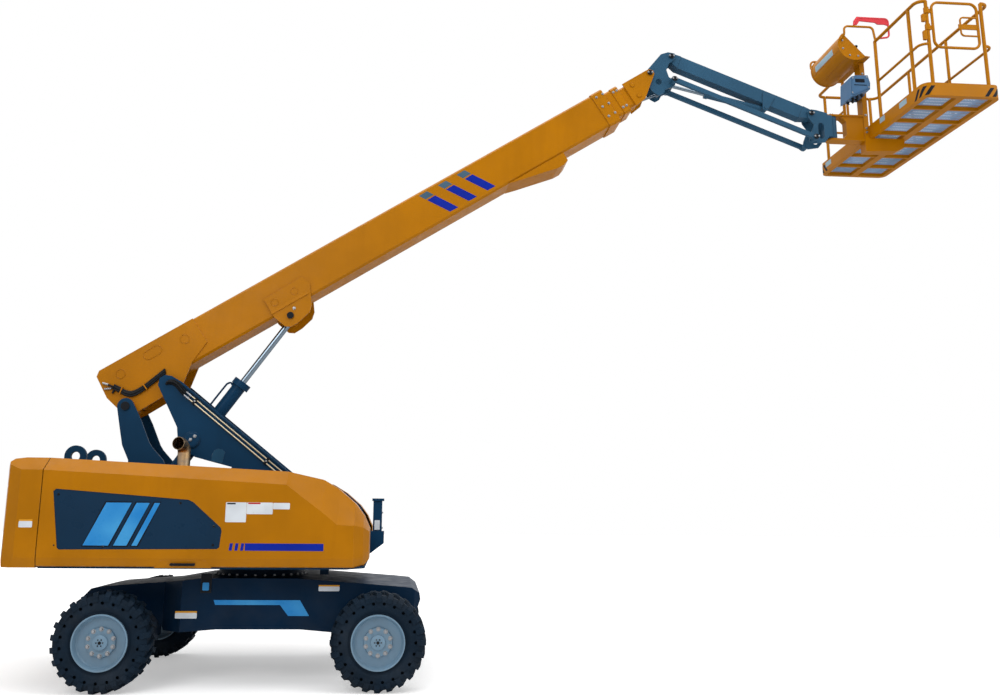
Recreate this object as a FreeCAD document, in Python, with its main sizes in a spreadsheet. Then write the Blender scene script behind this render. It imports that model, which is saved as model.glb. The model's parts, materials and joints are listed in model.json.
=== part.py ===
"""Telescopic boom lift: wheeled chassis, slewing turntable, three-section boom, levelled jib and basket.

Millimetres.  +X is the way the boom points, +Z is up, and the origin is on the ground under the
slewing axis.  Right-hand pieces are on the -Y side.
"""
import FreeCAD, Part
import math
import os
import re
import Sketcher

doc = FreeCAD.newDocument("boom_lift")
sheet = doc.addObject("Spreadsheet::Sheet", "Sizes")

SIZES = {
    # running gear
    "wheelbase": 2500,
    "overall_width": 2490,
    "tyre_diameter": 890,
    "tyre_width": 360,
    "tyre_shoulder": 42,
    "rim_radius": 250,
    "rim_wall": 12,
    "dish_depth": 72,
    "spindle_radius": 60,
    "hub_radius": 112,
    "hub_cap_radius": 66,
    "running_gap": 0.05,
    "face_gap": 0.5,
    "swing_gap": 5,
    "kingpin_inset": 275,
    "kingpin_radius": 25,
    "knuckle_radius": 68,
    "yoke_reach": 155,
    "yoke_plate": 38,
    "axle_half_width": 95,
    "axle_depth": 270,
    "front_axle_top": 505,
    "front_axle_bottom": 365,
    "steer_arm": 180,
    "steer_rod_radius": 22,
    # chassis
    "chassis_half_width": 800,
    "chassis_wall": 14,
    "chassis_top": 985,
    "chassis_front": 1650,
    "chassis_belly": 512,
    "chassis_rear": 1655,
    "neck_half_width": 470,
    "neck_floor": 600,
    "hose_well_radius": 210,
    "ring_radius": 430,
    "ring_bore": 310,
    "race_height": 52,
    # turntable
    "deck_bottom": 1090,
    "deck_plate": 20,
    "deck_half_width": 1130,
    "deck_front": 1100,
    "seam": 1895,
    "seam_gap": 8,
    "body_half_width": 1200,
    "body_bottom": 1098,
    "body_top": 2105,
    "sill_height": 90,
    "sill_inset": 22,
    "bevel_drop": 120,
    "bevel_inset": 160,
    "tail_length": 2320,
    "hood_skin": 6,
    "hood_break": 350,
    "hood_fall": 105,
    "hood_hinge_radius": 7,
    "hood_pin_radius": 3,
    "well_half_width": 565,
    "wall_plate": 5,
    "side_plate_centre": 240,
    "side_plate": 25,
    "lug_spacing": 660,
    "lug_plate": 40,
    "lug_radius": 110,
    "lug_bore": 46,
    "exhaust_radius": 65,
    "exhaust_wall": 3,
    # boom
    "boom_pivot_x": -1460,
    "boom_pivot_z": 2694,
    "boom_angle": 32.2,
    "boom_pin_radius": 40,
    "base_length": 6400,
    "base_half_width": 175,
    "base_bottom": 60,
    "base_top": 490,
    "base_wall": 8,
    "mid_length": 5900,
    "mid_lead": 198,
    "mid_half_width": 138,
    "mid_bottom": 111,
    "mid_top": 448,
    "mid_wall": 7,
    "fly_length": 5800,
    "fly_lead": 322,
    "fly_half_width": 106,
    "fly_bottom": 146,
    "fly_top": 414,
    "fly_wall": 6,
    "collar_length": 150,
    "pad_gap": 0.5,
    "tube_corner": 22,
    "foot_plate": 12,
    "bracket_plate": 16,
    # lift cylinder
    "trunnion_x": -755,
    "trunnion_z": 2350,
    "trunnion_radius": 45,
    "trunnion_half": 110,
    "lift_pin_u": 1955,
    "lift_pin_v": -20,
    "lift_pin_radius": 34,
    "lift_barrel_radius": 73,
    "lift_barrel_wall": 12,
    "lift_barrel_tail": 470,
    "lift_barrel_nose": 790,
    "lift_rod_radius": 35,
    "lift_eye_half": 58,
    # jib
    "tip_pin_u": 7063,
    "tip_pin_v": 393,
    "tip_plate": 16,
    "mount_plate": 16,
    "mount_half_width": 96,
    "jib_pin_radius": 25,
    "arm_pin_x": 278,
    "arm_pin_z": 240,
    "arm_length": 1810,
    "arm_decline": 21.4,
    "link_drop": 335,
    "arm_half_width": 60,
    "arm_top": 65,
    "arm_bottom": 95,
    "arm_wall": 6,
    "link_centre": 166,
    "link_half_width": 17,
    "link_half_height": 28,
    "jib_lug_x": 1280,
    "jib_lug_z": 140,
    "jib_lug_pin_radius": 20,
    "jib_barrel_radius": 38,
    "jib_barrel_length": 734,
    "jib_rod_radius": 20,
    "level_base_u": 6330,
    "level_base_v": 262,
    "level_pin_x": 113,
    "level_pin_z": 215,
    "level_pin_radius": 15,
    "level_barrel_radius": 31,
    "level_barrel_length": 430,
    "level_rod_radius": 16,
    # platform
    "rotator_x": 280,
    "rotator_z": 150,
    "rotator_radius": 65,
    "rotator_height": 270,
    "rotator_shaft": 30,
    "fork_plate": 20,
    "fork_half_width": 70,
    "post_x": 665,
    "post_depth": 60,
    "post_half_width": 60,
    "basket_x": 725,
    "basket_drop": 270,
    "basket_depth": 870,
    "basket_width": 2440,
    "basket_corner": 85,
    "toe_height": 150,
    "toe_wall": 4,
    "floor_ledge": 58,
    "member_half": 13,
    "rail_height": 1080,
    "rail_radius": 19,
    "mid_rail_height": 570,
    "console_roll": 190,
    "guard_radius": 13,
}

for row, (alias, value) in enumerate(SIZES.items(), start=1):
    sheet.set(f"A{row}", str(value))
    sheet.setAlias(f"A{row}", alias)
doc.recompute()


# ---------------------------------------------------------------- helpers

def formula(text):
    """Put the sheet's name before every alias in an expression."""
    return re.sub(r"[a-z_]+", lambda word: f"Sizes.{word[0]}" if word[0] in SIZES else word[0], str(text))


def number(text):
    """The present value of an expression."""
    result = sheet.evalExpression(formula(text))
    return float(getattr(result, "Value", result))


def bind(thing, **properties):
    """Tie an object's properties to the sheet."""
    for name, text in properties.items():
        thing.setExpression(name, formula(text))
    return thing


def place(thing, x="0", y="0", z="0", axis=None, angle=None):
    """Tie an object's position, and its turn about one axis, to the sheet."""
    if axis:
        thing.Placement = FreeCAD.Placement(FreeCAD.Vector(), FreeCAD.Rotation(FreeCAD.Vector(*axis), 1))
        thing.setExpression("Placement.Rotation.Angle", formula(angle))
    for coordinate, text in (("x", x), ("y", y), ("z", z)):
        thing.setExpression(f"Placement.Base.{coordinate}", formula(text))
    return thing


def box(name, x0, x1, y0, y1, z0, z1):
    """A block between six planes."""
    block = doc.addObject("Part::Box", name)
    bind(block, Length=f"({x1}) - ({x0})", Width=f"({y1}) - ({y0})", Height=f"({z1}) - ({z0})")
    return place(block, x0, y0, z0)


TURNS = {"x": ((0, 1, 0), 90), "y": ((-1, 0, 0), 90), "z": None}


def rod(name, radius, axis, start, end, across):
    """A cylinder along x, y or z from start to end; across holds its other two coordinates in order."""
    cylinder = doc.addObject("Part::Cylinder", name)
    bind(cylinder, Radius=radius, Height=f"({end}) - ({start})")
    where = list(across)
    where.insert("xyz".index(axis), start)
    turn = TURNS[axis]
    if turn:
        return place(cylinder, *where, axis=turn[0], angle=turn[1])
    return place(cylinder, *where)


def origin_item(body, role):
    """One of a body's own origin planes or axes."""
    return next(item for item in body.Origin.OriginFeatures if item.Role == role)


def sketch_loops(body, name, plane, loops, offset):
    """A sketch of closed polygons, every corner tied to the sheet."""
    sketch = body.newObject("Sketcher::SketchObject", name)
    sketch.AttachmentSupport = (origin_item(body, plane), [""])
    sketch.MapMode = "FlatFace"
    sketch.setExpression("AttachmentOffset.Base.z", formula(offset))
    for points in loops:
        first = sketch.GeometryCount
        corners = [FreeCAD.Vector(number(a), number(b), 0) for a, b in points]
        count = len(corners)
        for index in range(count):
            sketch.addGeometry(Part.LineSegment(corners[index], corners[(index + 1) % count]))
        for index in range(count):
            follower = first + (index + 1) % count
            sketch.addConstraint(Sketcher.Constraint("Coincident", first + index, 2, follower, 1))
        for index, texts in enumerate(points):
            for kind, text in zip(("DistanceX", "DistanceY"), texts):
                rule = Sketcher.Constraint(kind, -1, 1, first + index, 1, number(text))
                tied = sketch.addConstraint(rule)
                sketch.setExpression(f"Constraints[{tied}]", formula(text))
    return sketch


def pad(name, plane, loops, offset, length):
    """A body made by padding closed polygons."""
    body = doc.addObject("PartDesign::Body", name)
    sketch = sketch_loops(body, f"{name}_sketch", plane, loops, offset)
    feature = body.newObject("PartDesign::Pad", f"{name}_pad")
    feature.Profile = sketch
    bind(feature, Length=length)
    return body


def plate(name, points, y0, y1, *holes):
    """A plate whose outline is in X and Z, between two Y planes."""
    return pad(name, "XZ_Plane", (points,) + holes, f"-({y1})", f"({y1}) - ({y0})")


def mirrored_pair(name, points, inside, outside):
    """Two equal plates, one on each side."""
    return [plate(f"{name}_right", points, f"-({outside})", f"-({inside})"),
            plate(f"{name}_left", points, inside, outside)]


def slab(name, points, z0, z1, *holes):
    """A slab whose outline is in X and Y, between two Z planes."""
    return pad(name, "XY_Plane", (points,) + holes, z0, f"({z1}) - ({z0})")


def bar(name, points, x0, x1, *holes):
    """A bar whose section is in Y and Z, between two X planes."""
    return pad(name, "YZ_Plane", (points,) + holes, x0, f"({x1}) - ({x0})")


def turned(name, points):
    """A body of revolution about the Y axis; points are (distance along Y, radius)."""
    body = doc.addObject("PartDesign::Body", name)
    sketch = sketch_loops(body, f"{name}_sketch", "YZ_Plane", (points,), "0")
    feature = body.newObject("PartDesign::Revolution", f"{name}_turn")
    feature.Profile = sketch
    feature.ReferenceAxis = (origin_item(body, "Y_Axis"), [""])
    feature.Angle = 360
    return body


def fuse(name, *pieces):
    joined = doc.addObject("Part::MultiFuse", name)
    joined.Shapes = list(pieces)
    joined.Refine = True
    return joined


def cut(name, base, *tools):
    for index, tool in enumerate(tools):
        result = doc.addObject("Part::Cut", name if tool is tools[-1] else f"{name}_{index}")
        result.Base, result.Tool = base, tool
        base = result
    return base


def common(name, *pieces):
    result = doc.addObject("Part::MultiCommon", name)
    result.Shapes = list(pieces)
    return result


def mirrored_y(points):
    """The outline whose first half is given, completed by its mirror image across Y = 0."""
    return list(points) + [(x, f"-({y})") for x, y in reversed(points)]


def inset(points, wall):
    """Corners given with the way in (dx, dz), moved in by a wall."""
    return [(f"{x} + ({dx}) * {wall}", f"{z} + ({dz}) * {wall}") for x, z, dx, dz in points]


def outer(points):
    return [(x, z) for x, z, _, _ in points]


NODES = {}


def node(name, thing):
    """Register a sub-part under the name its file gets."""
    thing.Label = name
    NODES[name] = thing
    return thing


# frames that carry pieces: each is the X and Z of its origin, its turning axis and its angle
UP, DOWN = (0, -1, 0), (0, 1, 0)
PIVOT_X, PIVOT_Z = "boom_pivot_x", "boom_pivot_z"


def on_boom(u, v):
    """X and Z of a point given along and across the boom."""
    x = f"({PIVOT_X} + ({u}) * cos(boom_angle) - ({v}) * sin(boom_angle))"
    z = f"({PIVOT_Z} + ({u}) * sin(boom_angle) + ({v}) * cos(boom_angle))"
    return x, z


TIP_X, TIP_Z = on_boom("tip_pin_u", "tip_pin_v")
ARM_X, ARM_Z = f"({TIP_X} + arm_pin_x)", f"({TIP_Z} + arm_pin_z)"
LINK_Z = f"({ARM_Z} - link_drop)"
END_X = f"({ARM_X} + arm_length * cos(arm_decline))"
END_Z = f"({ARM_Z} - arm_length * sin(arm_decline))"
LIFT_X, LIFT_Z = on_boom("lift_pin_u", "lift_pin_v")
LEVEL_X, LEVEL_Z = on_boom("level_base_u", "level_base_v")
JIB_LUG_X = f"({ARM_X} + jib_lug_x * cos(arm_decline) - jib_lug_z * sin(arm_decline))"
JIB_LUG_Z = f"({ARM_Z} - jib_lug_x * sin(arm_decline) - jib_lug_z * cos(arm_decline))"


def on_boom_frame(thing):
    return place(thing, PIVOT_X, "0", PIVOT_Z, UP, "boom_angle")


def aimed(thing, x0, z0, x1, z1):
    """Stand a piece drawn along +X at one point and aim it at another."""
    return place(thing, x0, "0", z0, UP, f"atan2(({z1}) - ({z0}); ({x1}) - ({x0}))")


def distance(x0, z0, x1, z1):
    return f"sqrt((({x1}) - ({x0})) ^ 2 + (({z1}) - ({z0})) ^ 2)"


# ---------------------------------------------------------------- wheels and axles

TRACK = "(overall_width / 2 - tyre_width / 2)"
AXLE_Z = "tyre_diameter / 2"
CORNERS = (("front", "right"), ("front", "left"), ("rear", "right"), ("rear", "left"))


def wheel_place(thing, end, side):
    """Put a piece drawn with +Y outward at one of the four wheels."""
    x = "wheelbase / 2" if end == "front" else "-wheelbase / 2"
    y = f"-{TRACK}" if side == "right" else TRACK
    return place(thing, x, y, AXLE_Z, (0, 0, 1), "180" if side == "right" else "0")


def tyre_outline():
    """Half the closed section of a solid tyre, mirrored across its middle plane."""
    half = [("tyre_width / 2 - 18", "rim_radius"), ("tyre_width / 2 - 18", "rim_radius + 26"),
            ("tyre_width / 2", "rim_radius + 62"), ("tyre_width / 2", "tyre_diameter / 2 - tyre_shoulder"),
            ("tyre_width / 2 - tyre_shoulder", "tyre_diameter / 2")]
    return half + [(f"-({y})", r) for y, r in reversed(half)]


def rim_outline():
    """Section of the dished rim with its hub sleeve and end cover."""
    lip = "tyre_width / 2 - 8"
    dish = f"{lip} - dish_depth"
    return [(f"-({lip})", "rim_radius"), (lip, "rim_radius"), (lip, "rim_radius - rim_wall"),
            (f"{dish} + 12", "rim_radius - 26"), (dish, "rim_radius - 38"), (dish, "hub_radius + 24"),
            (f"{dish} + 24", "hub_radius + 16"), (f"{dish} + 28", "hub_radius - 12"),
            (f"{dish} + 28", "hub_cap_radius + 4"), (f"{dish} + 52", "hub_cap_radius"),
            (f"{dish} + 58", "hub_cap_radius - 26"), (f"{dish} + 58", "0"),
            ("70", "0"), ("70", "spindle_radius + running_gap"), ("20", "spindle_radius + running_gap"),
            ("20", "hub_radius"), (f"{dish} - 14", "hub_radius"), (f"{dish} - 14", "rim_radius - rim_wall - 14"),
            (f"-({lip})", "rim_radius - rim_wall")]


def spindle_outline(back, flange):
    """Section of a wheel's drive housing and spindle, from the plane at its back."""
    return [(back, "0"), ("70 - face_gap", "0"), ("70 - face_gap", "spindle_radius"), ("14", "spindle_radius"),
            ("14", "hub_radius - 6"), (f"{back} + 24", "hub_radius - 6"), (f"{back} + 24", flange), (back, flange)]


for end, side in CORNERS:
    node(f"{end}_{side}_tyre", wheel_place(turned(f"tyre_{end}_{side}", tyre_outline()), end, side))
    node(f"{end}_{side}_rim", wheel_place(turned(f"rim_{end}_{side}", rim_outline()), end, side))



def front_axle():
    """Beam under the chassis with a fixed wheel drive at each end."""
    housings = []
    for side in ("right", "left"):
        outline = spindle_outline(f"chassis_half_width + face_gap - {TRACK}", "hub_radius + 18")
        housings.append(wheel_place(turned(f"hub_{side}", outline), "front", side))
    beam = box("front_beam", "wheelbase / 2 - 100", "wheelbase / 2 + 100", "-chassis_half_width - 15",
               "chassis_half_width + 15", "front_axle_bottom", "front_axle_top")
    return node("front_axle", fuse("front_axle_solid", beam, *housings))


front_axle()

KINGPIN_Y = f"({TRACK} - kingpin_inset)"
KNUCKLE_LOW = f"({AXLE_Z} - axle_depth / 2 + swing_gap)"
KNUCKLE_HIGH = f"({AXLE_Z} + axle_depth / 2 - yoke_plate - swing_gap)"
REAR_X = "(-wheelbase / 2)"


def knuckle(side, sign):
    """Steering knuckle: kingpin barrel, spindle and steering arm."""
    pin_y = f"({sign} * {KINGPIN_Y})"
    barrel = rod(f"knuckle_barrel_{side}", "knuckle_radius", "z", KNUCKLE_LOW, KNUCKLE_HIGH, (REAR_X, pin_y))
    spindle = turned(f"knuckle_spindle_{side}", spindle_outline("-kingpin_inset + 50", "hub_radius - 20"))
    wheel_place(spindle, "rear", side)
    arm = box(f"knuckle_arm_{side}", f"{REAR_X} - steer_arm", f"{REAR_X} - knuckle_radius / 2",
              f"{pin_y} - 28 - 15 * {sign}", f"{pin_y} + 28 - 15 * {sign}", f"{AXLE_Z} - 62", f"{AXLE_Z} - 32")
    tip = rod(f"knuckle_tip_{side}", "36", "z", f"{AXLE_Z} - 62", f"{AXLE_Z} - 30",
              (f"{REAR_X} - steer_arm", f"{pin_y} - 15 * {sign}"))
    bore = rod(f"knuckle_bore_{side}", "kingpin_radius + running_gap", "z", KNUCKLE_LOW + " - 1",
               KNUCKLE_HIGH + " + 1", (REAR_X, pin_y))
    solid = fuse(f"knuckle_solid_{side}", barrel, spindle, arm, tip)
    return node(f"rear_{side}_knuckle", cut(f"knuckle_{side}", solid, bore))


knuckle("right", -1)
knuckle("left", 1)


STEER_X = f"({REAR_X} - steer_arm)"


def rear_axle():
    """Beam axle with a yoke and a kingpin at each end, and the steering cylinder's body behind it."""
    low, high = f"({AXLE_Z} - axle_depth / 2)", f"({AXLE_Z} + axle_depth / 2 + 20)"
    reach = f"({KINGPIN_Y} - knuckle_radius - 75)"
    pieces = [box("axle_beam", f"{REAR_X} - axle_half_width", f"{REAR_X} + axle_half_width", f"-{reach}", reach,
                  low, "neck_floor")]
    for side, sign in (("right", -1), ("left", 1)):
        pin_y = f"({sign} * {KINGPIN_Y})"
        root = f"({sign} * {reach} - 80 * {sign})"
        ends = (pin_y, root) if sign < 0 else (root, pin_y)
        for level, z0, z1 in (("low", f"{low} - yoke_plate", low), ("high", f"{high} - yoke_plate - 20", high)):
            pieces.append(box(f"yoke_{level}_{side}", f"{REAR_X} - knuckle_radius", f"{REAR_X} + knuckle_radius",
                              *ends, z0, z1))
            pieces.append(rod(f"yoke_eye_{level}_{side}", "knuckle_radius", "z", z0, z1, (REAR_X, pin_y)))
        pieces.append(rod(f"kingpin_{side}", "kingpin_radius", "z", f"{low} - yoke_plate", high, (REAR_X, pin_y)))
    pieces.append(rod("steer_tube", "46", "y", "-290", "290", (STEER_X, AXLE_Z)))
    pieces.append(box("steer_foot", STEER_X, f"{REAR_X} - axle_half_width", "-60", "60", f"{AXLE_Z} - 34",
                      f"{AXLE_Z} + 34"))
    bore = rod("steer_bore", "steer_rod_radius + running_gap", "y", "-300", "300", (STEER_X, AXLE_Z))
    return node("rear_axle", cut("axle", fuse("axle_solid", *pieces), bore))


rear_axle()

EYE_Y = f"({KINGPIN_Y} - 15)"
steer_ends = [rod("steer_shaft", "steer_rod_radius", "y", f"-{EYE_Y} + 20", f"{EYE_Y} - 20", (STEER_X, AXLE_Z))]
for side, sign in (("right", -1), ("left", 1)):
    steer_ends.append(rod(f"steer_eye_{side}", "34", "z", f"{AXLE_Z} - 25", f"{AXLE_Z} + 25",
                          (STEER_X, f"{sign} * {EYE_Y}")))
node("steering_rod", fuse("steer_rod", *steer_ends))


# ---------------------------------------------------------------- chassis

def chassis():
    """Arched hollow frame: its side view and its plan view, each extruded, in common."""
    side_view = [("-chassis_rear", "neck_floor", 1, 1), ("-chassis_rear", "chassis_top - 195", 1, 0),
                 ("-chassis_rear + 65", "chassis_top - 125", 0.5, -1),
                 ("-chassis_rear + 175", "chassis_top - 103", 0, -1), ("-900", "chassis_top - 60", 0, -1),
                 ("-ring_radius - 30", "chassis_top", 0, -1), ("ring_radius + 30", "chassis_top", 0, -1),
                 ("chassis_front - 250", "chassis_top - 67", 0, -1),
                 ("chassis_front - 85", "chassis_top - 82", -0.5, -1),
                 ("chassis_front - 10", "chassis_top - 135", -1, -0.5), ("chassis_front", "chassis_top - 195", -1, 0),
                 ("chassis_front - 60", "chassis_top - 360", -1, 0.5),
                 ("chassis_front - 180", "chassis_top - 465", -0.5, 1),
                 ("wheelbase / 2 + 105", "front_axle_top", 0, 1), ("wheelbase / 2 - 105", "front_axle_top", 0, 1),
                 ("800", "chassis_belly - 26", 0, 1), ("500", "chassis_belly", 0, 1), ("-300", "chassis_belly", 0, 1),
                 ("-860", "chassis_belly - 44", 0.5, 1), ("-960", "neck_floor", 0.5, 1)]
    plan_view = [("-chassis_rear", "neck_half_width", 1, -1), ("-880", "neck_half_width", 0.5, -1),
                 ("-640", "chassis_half_width", 0.5, -1), ("chassis_front - 60", "chassis_half_width", 0, -1),
                 ("chassis_front", "chassis_half_width - 70", -1, -1)]
    shell = common("chassis_outside",
                   plate("chassis_side", outer(side_view), "-chassis_half_width - 1", "chassis_half_width + 1"),
                   slab("chassis_plan", mirrored_y(outer(plan_view)), "0", "chassis_top + 10"))
    room = common("chassis_inside",
                  plate("chassis_side_in", inset(side_view, "chassis_wall"), "-chassis_half_width",
                        "chassis_half_width"),
                  slab("chassis_plan_in", mirrored_y(inset(plan_view, "chassis_wall")), "0", "chassis_top + 10"))
    well = rod("hose_well", "hose_well_radius", "z", "0", "chassis_top + 10", ("0", "0"))
    race = ring("race", "ring_radius", "ring_bore", "chassis_top", RACE_TOP)
    return node("chassis_frame", fuse("chassis", cut("chassis_welded", shell, room, well), race))


def ring(name, outer_radius, inner_radius, z0, z1):
    """A flat ring about the slewing axis."""
    return cut(name, rod(f"{name}_disc", outer_radius, "z", z0, z1, ("0", "0")),
               rod(f"{name}_hole", inner_radius, "z", f"{z0} - 1", f"{z1} + 1", ("0", "0")))


RACE_TOP = "(chassis_top + race_height)"
chassis()

# ---------------------------------------------------------------- turntable

DECK_TOP = "(deck_bottom + deck_plate)"
deck_outline = [("-seam + seam_gap", "deck_half_width"), ("deck_front - 170", "deck_half_width"),
                ("deck_front", "deck_half_width - 230")]
deck = fuse("deck_solid",
            slab("deck_plate_body", mirrored_y(deck_outline), "deck_bottom", DECK_TOP),
            ring("slew_ring", "ring_radius - 6", "ring_bore", f"{RACE_TOP} + face_gap", "deck_bottom"),
            box("deck_front_plate", "deck_front - 15", "deck_front", "-well_half_width + 20", "well_half_width - 20",
                "deck_bottom", "1440"),
            box("deck_hose_guard", "645", "730", "-470", "-390", "deck_bottom - 88", "deck_bottom"))
node("turntable_deck", cut("deck", deck, rod("deck_hole", "hose_well_radius", "z", "deck_bottom - 1",
                                             f"{DECK_TOP} + 1", ("0", "0"))))

SLOPE_TOP = ("-894", "2959")
SLOPE_END = ("deck_front - 15", "1384")
side_outline = [("-1310", DECK_TOP), ("-1391", "2133"), ("-1464", "2287"), ("-1497", "2442"),
                ("boom_pivot_x - 84", "boom_pivot_z - 20"), ("boom_pivot_x + 78", "boom_pivot_z + 34"),
                ("-1290", "2550"), ("-1191", "2322"), ("-1157", "2270"), ("-1035", "2137"), ("-930", "1930"),
                ("-820", "1850"), ("-480", "1850"), ("-323", "2074"), ("-710", "2172"), ("-817", "2244"),
                ("-892", "2295"), ("-915", "2482"), ("-1141", "2922"), ("-1128", "2995"), ("-1076", "3032"),
                ("-1002", "3021"), SLOPE_TOP, SLOPE_END, ("deck_front - 15", DECK_TOP)]


def side_plate(side, sign):
    """Tall plate that carries the boom's foot and the lift cylinder's trunnion."""
    inner, outside = "(side_plate_centre - side_plate / 2)", "(side_plate_centre + side_plate / 2)"
    y0, y1 = (f"-{outside}", f"-{inner}") if sign < 0 else (inner, outside)
    web = plate(f"side_web_{side}", side_outline, y0, y1)
    head = rod(f"side_head_{side}", "85", "y", y0, y1, (PIVOT_X, PIVOT_Z))
    boss_y = (f"-{outside} - 16", f"-{outside}") if sign < 0 else (outside, f"{outside} + 16")
    boss = rod(f"side_boss_{side}", "trunnion_radius + 42", "y", *boss_y, ("trunnion_x", "trunnion_z"))
    tip = "(trunnion_half + swing_gap + 1)"
    pin_y = (y1, f"-{tip}") if sign < 0 else (tip, y0)
    pin = rod(f"side_trunnion_{side}", "trunnion_radius", "y", *pin_y, ("trunnion_x", "trunnion_z"))
    hole = rod(f"side_pin_hole_{side}", "boom_pin_radius", "y", f"{y0} - 30", f"{y1} + 30", (PIVOT_X, PIVOT_Z))
    return node(f"{side}_side_plate",
                cut(f"side_{side}", fuse(f"side_solid_{side}", web, head, boss, pin), hole))


side_plate("right", -1)
side_plate("left", 1)

CROSS_HALF = "(side_plate_centre - side_plate / 2)"
node("cross_tubes", fuse("cross_pair", *[rod(f"cross_{end}", "55", "y", f"-{CROSS_HALF}", CROSS_HALF, (x, z))
                                         for end, x, z in (("rear", "-1180", "1500"), ("front", "620", "1420"))]))
PIN_HALF = "(side_plate_centre + side_plate / 2 + 10)"
node("boom_pin", rod("boom_pin_rod", "boom_pin_radius", "y", f"-{PIN_HALF}", PIN_HALF, (PIVOT_X, PIVOT_Z)))


def counterweight():
    """Cast block: plan, side and rear outlines in common, so that every edge is bevelled."""
    plan_view = [("-1725", "470"), ("-seam", "470"), ("-seam", "body_half_width"),
                 ("-tail_length + 230", "body_half_width"), ("-tail_length + 105", "body_half_width - 65"),
                 ("-tail_length + 52", "body_half_width - 180"), ("-tail_length + 18", "body_half_width - 520"),
                 ("-tail_length", "150")]
    side_view = [("-1700", DECK_TOP), ("-seam", DECK_TOP), ("-seam", "body_bottom"),
                 ("-tail_length + 115", "body_bottom"),
                 ("-tail_length", "body_bottom + 100"), ("-tail_length + 12", "1800"),
                 ("-tail_length + 68", "1836"), ("-tail_length + 22", "1876"), ("-tail_length + 22", "1990"),
                 ("-tail_length + 118", "body_top - 14"), ("-tail_length + 215", "body_top"),
                 ("-1700", "body_top")]
    rear_view = [("body_half_width - sill_inset", "body_bottom - 1"),
                 ("body_half_width", "body_bottom + sill_height"), ("body_half_width", "body_top - bevel_drop"),
                 ("body_half_width - bevel_inset", "body_top")]
    closed = list(rear_view) + [(f"-({y})", z) for y, z in reversed(rear_view)]
    outside = common("weight_solid", slab("weight_plan", mirrored_y(plan_view), "1000", "2200"),
                     plate("weight_side", side_view, "-1300", "1300"),
                     bar("weight_rear", closed, "-tail_length - 10", "-1600"))
    pockets = [box(f"weight_pocket_{side}", "-tail_length + 230", "-seam + 10", y0, y1, "body_bottom + 330",
                   "body_top - 190")
               for side, y0, y1 in (("right", "-body_half_width + 90", "-500"), ("left", "500", "body_half_width - 90"))]
    return node("counterweight", cut("weight", outside, *pockets))


counterweight()


def lifting_lug(side, sign):
    """One half-round lifting lug on the counterweight."""
    y0 = f"({sign} * lug_spacing / 2 - lug_plate / 2)"
    y1 = f"({sign} * lug_spacing / 2 + lug_plate / 2)"
    centre = ("-1895", "body_top + 55")
    body = fuse(f"lug_solid_{side}", rod(f"lug_disc_{side}", "lug_radius", "y", y0, y1, centre),
                box(f"lug_foot_{side}", "-1895 - lug_radius", "-1895 + lug_radius", y0, y1, "body_top",
                    "body_top + 55"))
    below = box(f"lug_below_{side}", "-2100", "-1700", f"{y0} - 5", f"{y1} + 5", "body_top - 200", "body_top")
    hole = rod(f"lug_hole_{side}", "lug_bore", "y", f"{y0} - 5", f"{y1} + 5", centre)
    return cut(f"lug_{side}", body, below, hole)


node("lifting_lugs", fuse("lugs", lifting_lug("right", -1), lifting_lug("left", 1)))

# stations of the hood's outside: X, side half-width, height of the side's top edge, half-width and
# height of the ridge, and height of the bottom edge
HOOD_STATIONS = (
    ("-seam + seam_gap", "body_half_width", "body_top - bevel_drop", "body_half_width - bevel_inset", "body_top",
     "body_bottom"),
    ("hood_break", "body_half_width", "1872", "body_half_width - bevel_inset", "body_top - hood_fall",
     "body_bottom"),
    ("690", "body_half_width", "1622", "1010", "1927", "body_bottom"),
    ("840", "body_half_width", "1502", "985", "1838", "body_bottom"),
    ("1000", "body_half_width", "1496", "965", "1702", "body_bottom"),
    ("1085", "body_half_width - 90", "1480", "950", "1590", "body_bottom + 22"),
    ("1140", "body_half_width - 180", "1440", "940", "1468", "body_bottom + 80"),
)


def hood_loft(name, sign, skin, back, inner, below):
    """Ruled loft through the hood's stations, drawn in by a skin thickness."""
    body = doc.addObject("PartDesign::Body", name)
    sections = []
    last = len(HOOD_STATIONS) - 1
    for index, (x, half, side_top, ridge, top, bottom) in enumerate(HOOD_STATIONS):
        where = f"{x} - ({back})" if index == 0 else (f"{x} - ({skin})" if index == last else x)
        points = [(f"{sign} * ({inner})", f"{bottom} - ({below})"),
                  (f"{sign} * ({half} - sill_inset - {skin})", f"{bottom} - ({below})"),
                  (f"{sign} * ({half} - {skin})", f"{bottom} + sill_height"),
                  (f"{sign} * ({half} - {skin})", f"{side_top} - {skin} / 2"),
                  (f"{sign} * ({ridge} - {skin} / 2)", f"{top} - {skin}"), (f"{sign} * ({inner})", f"{top} - {skin}")]
        sections.append(sketch_loops(body, f"{name}_{index}", "YZ_Plane", (points,), where))
    loft = body.newObject("PartDesign::AdditiveLoft", f"{name}_loft")
    loft.Profile = sections[0]
    loft.Sections = sections[1:]
    loft.Ruled = True
    return body


PANEL = [("-1783", "1790"), ("-1760", "1812"), ("-548", "1722"), ("-500", "1700"), ("-236", "1470"),
         ("-226", "1440"), ("-240", "1290"), ("-262", "1274"), ("-1690", "1262"), ("-1708", "1278")]


def spread(points, centre, amount):
    """An outline with each corner moved away from a centre by a margin."""
    moved = []
    for x, z in points:
        sx = 1 if float(x) > centre[0] else -1
        sz = 1 if float(z) > centre[1] else -1
        moved.append((f"{x} + {sx * amount}", f"{z} + {sz * amount}"))
    return moved


RIDGE_FALL = "(hood_fall / (hood_break + seam - seam_gap))"
HINGE_SPOTS = (("rear", "-1450"), ("front", "-150"))


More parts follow.
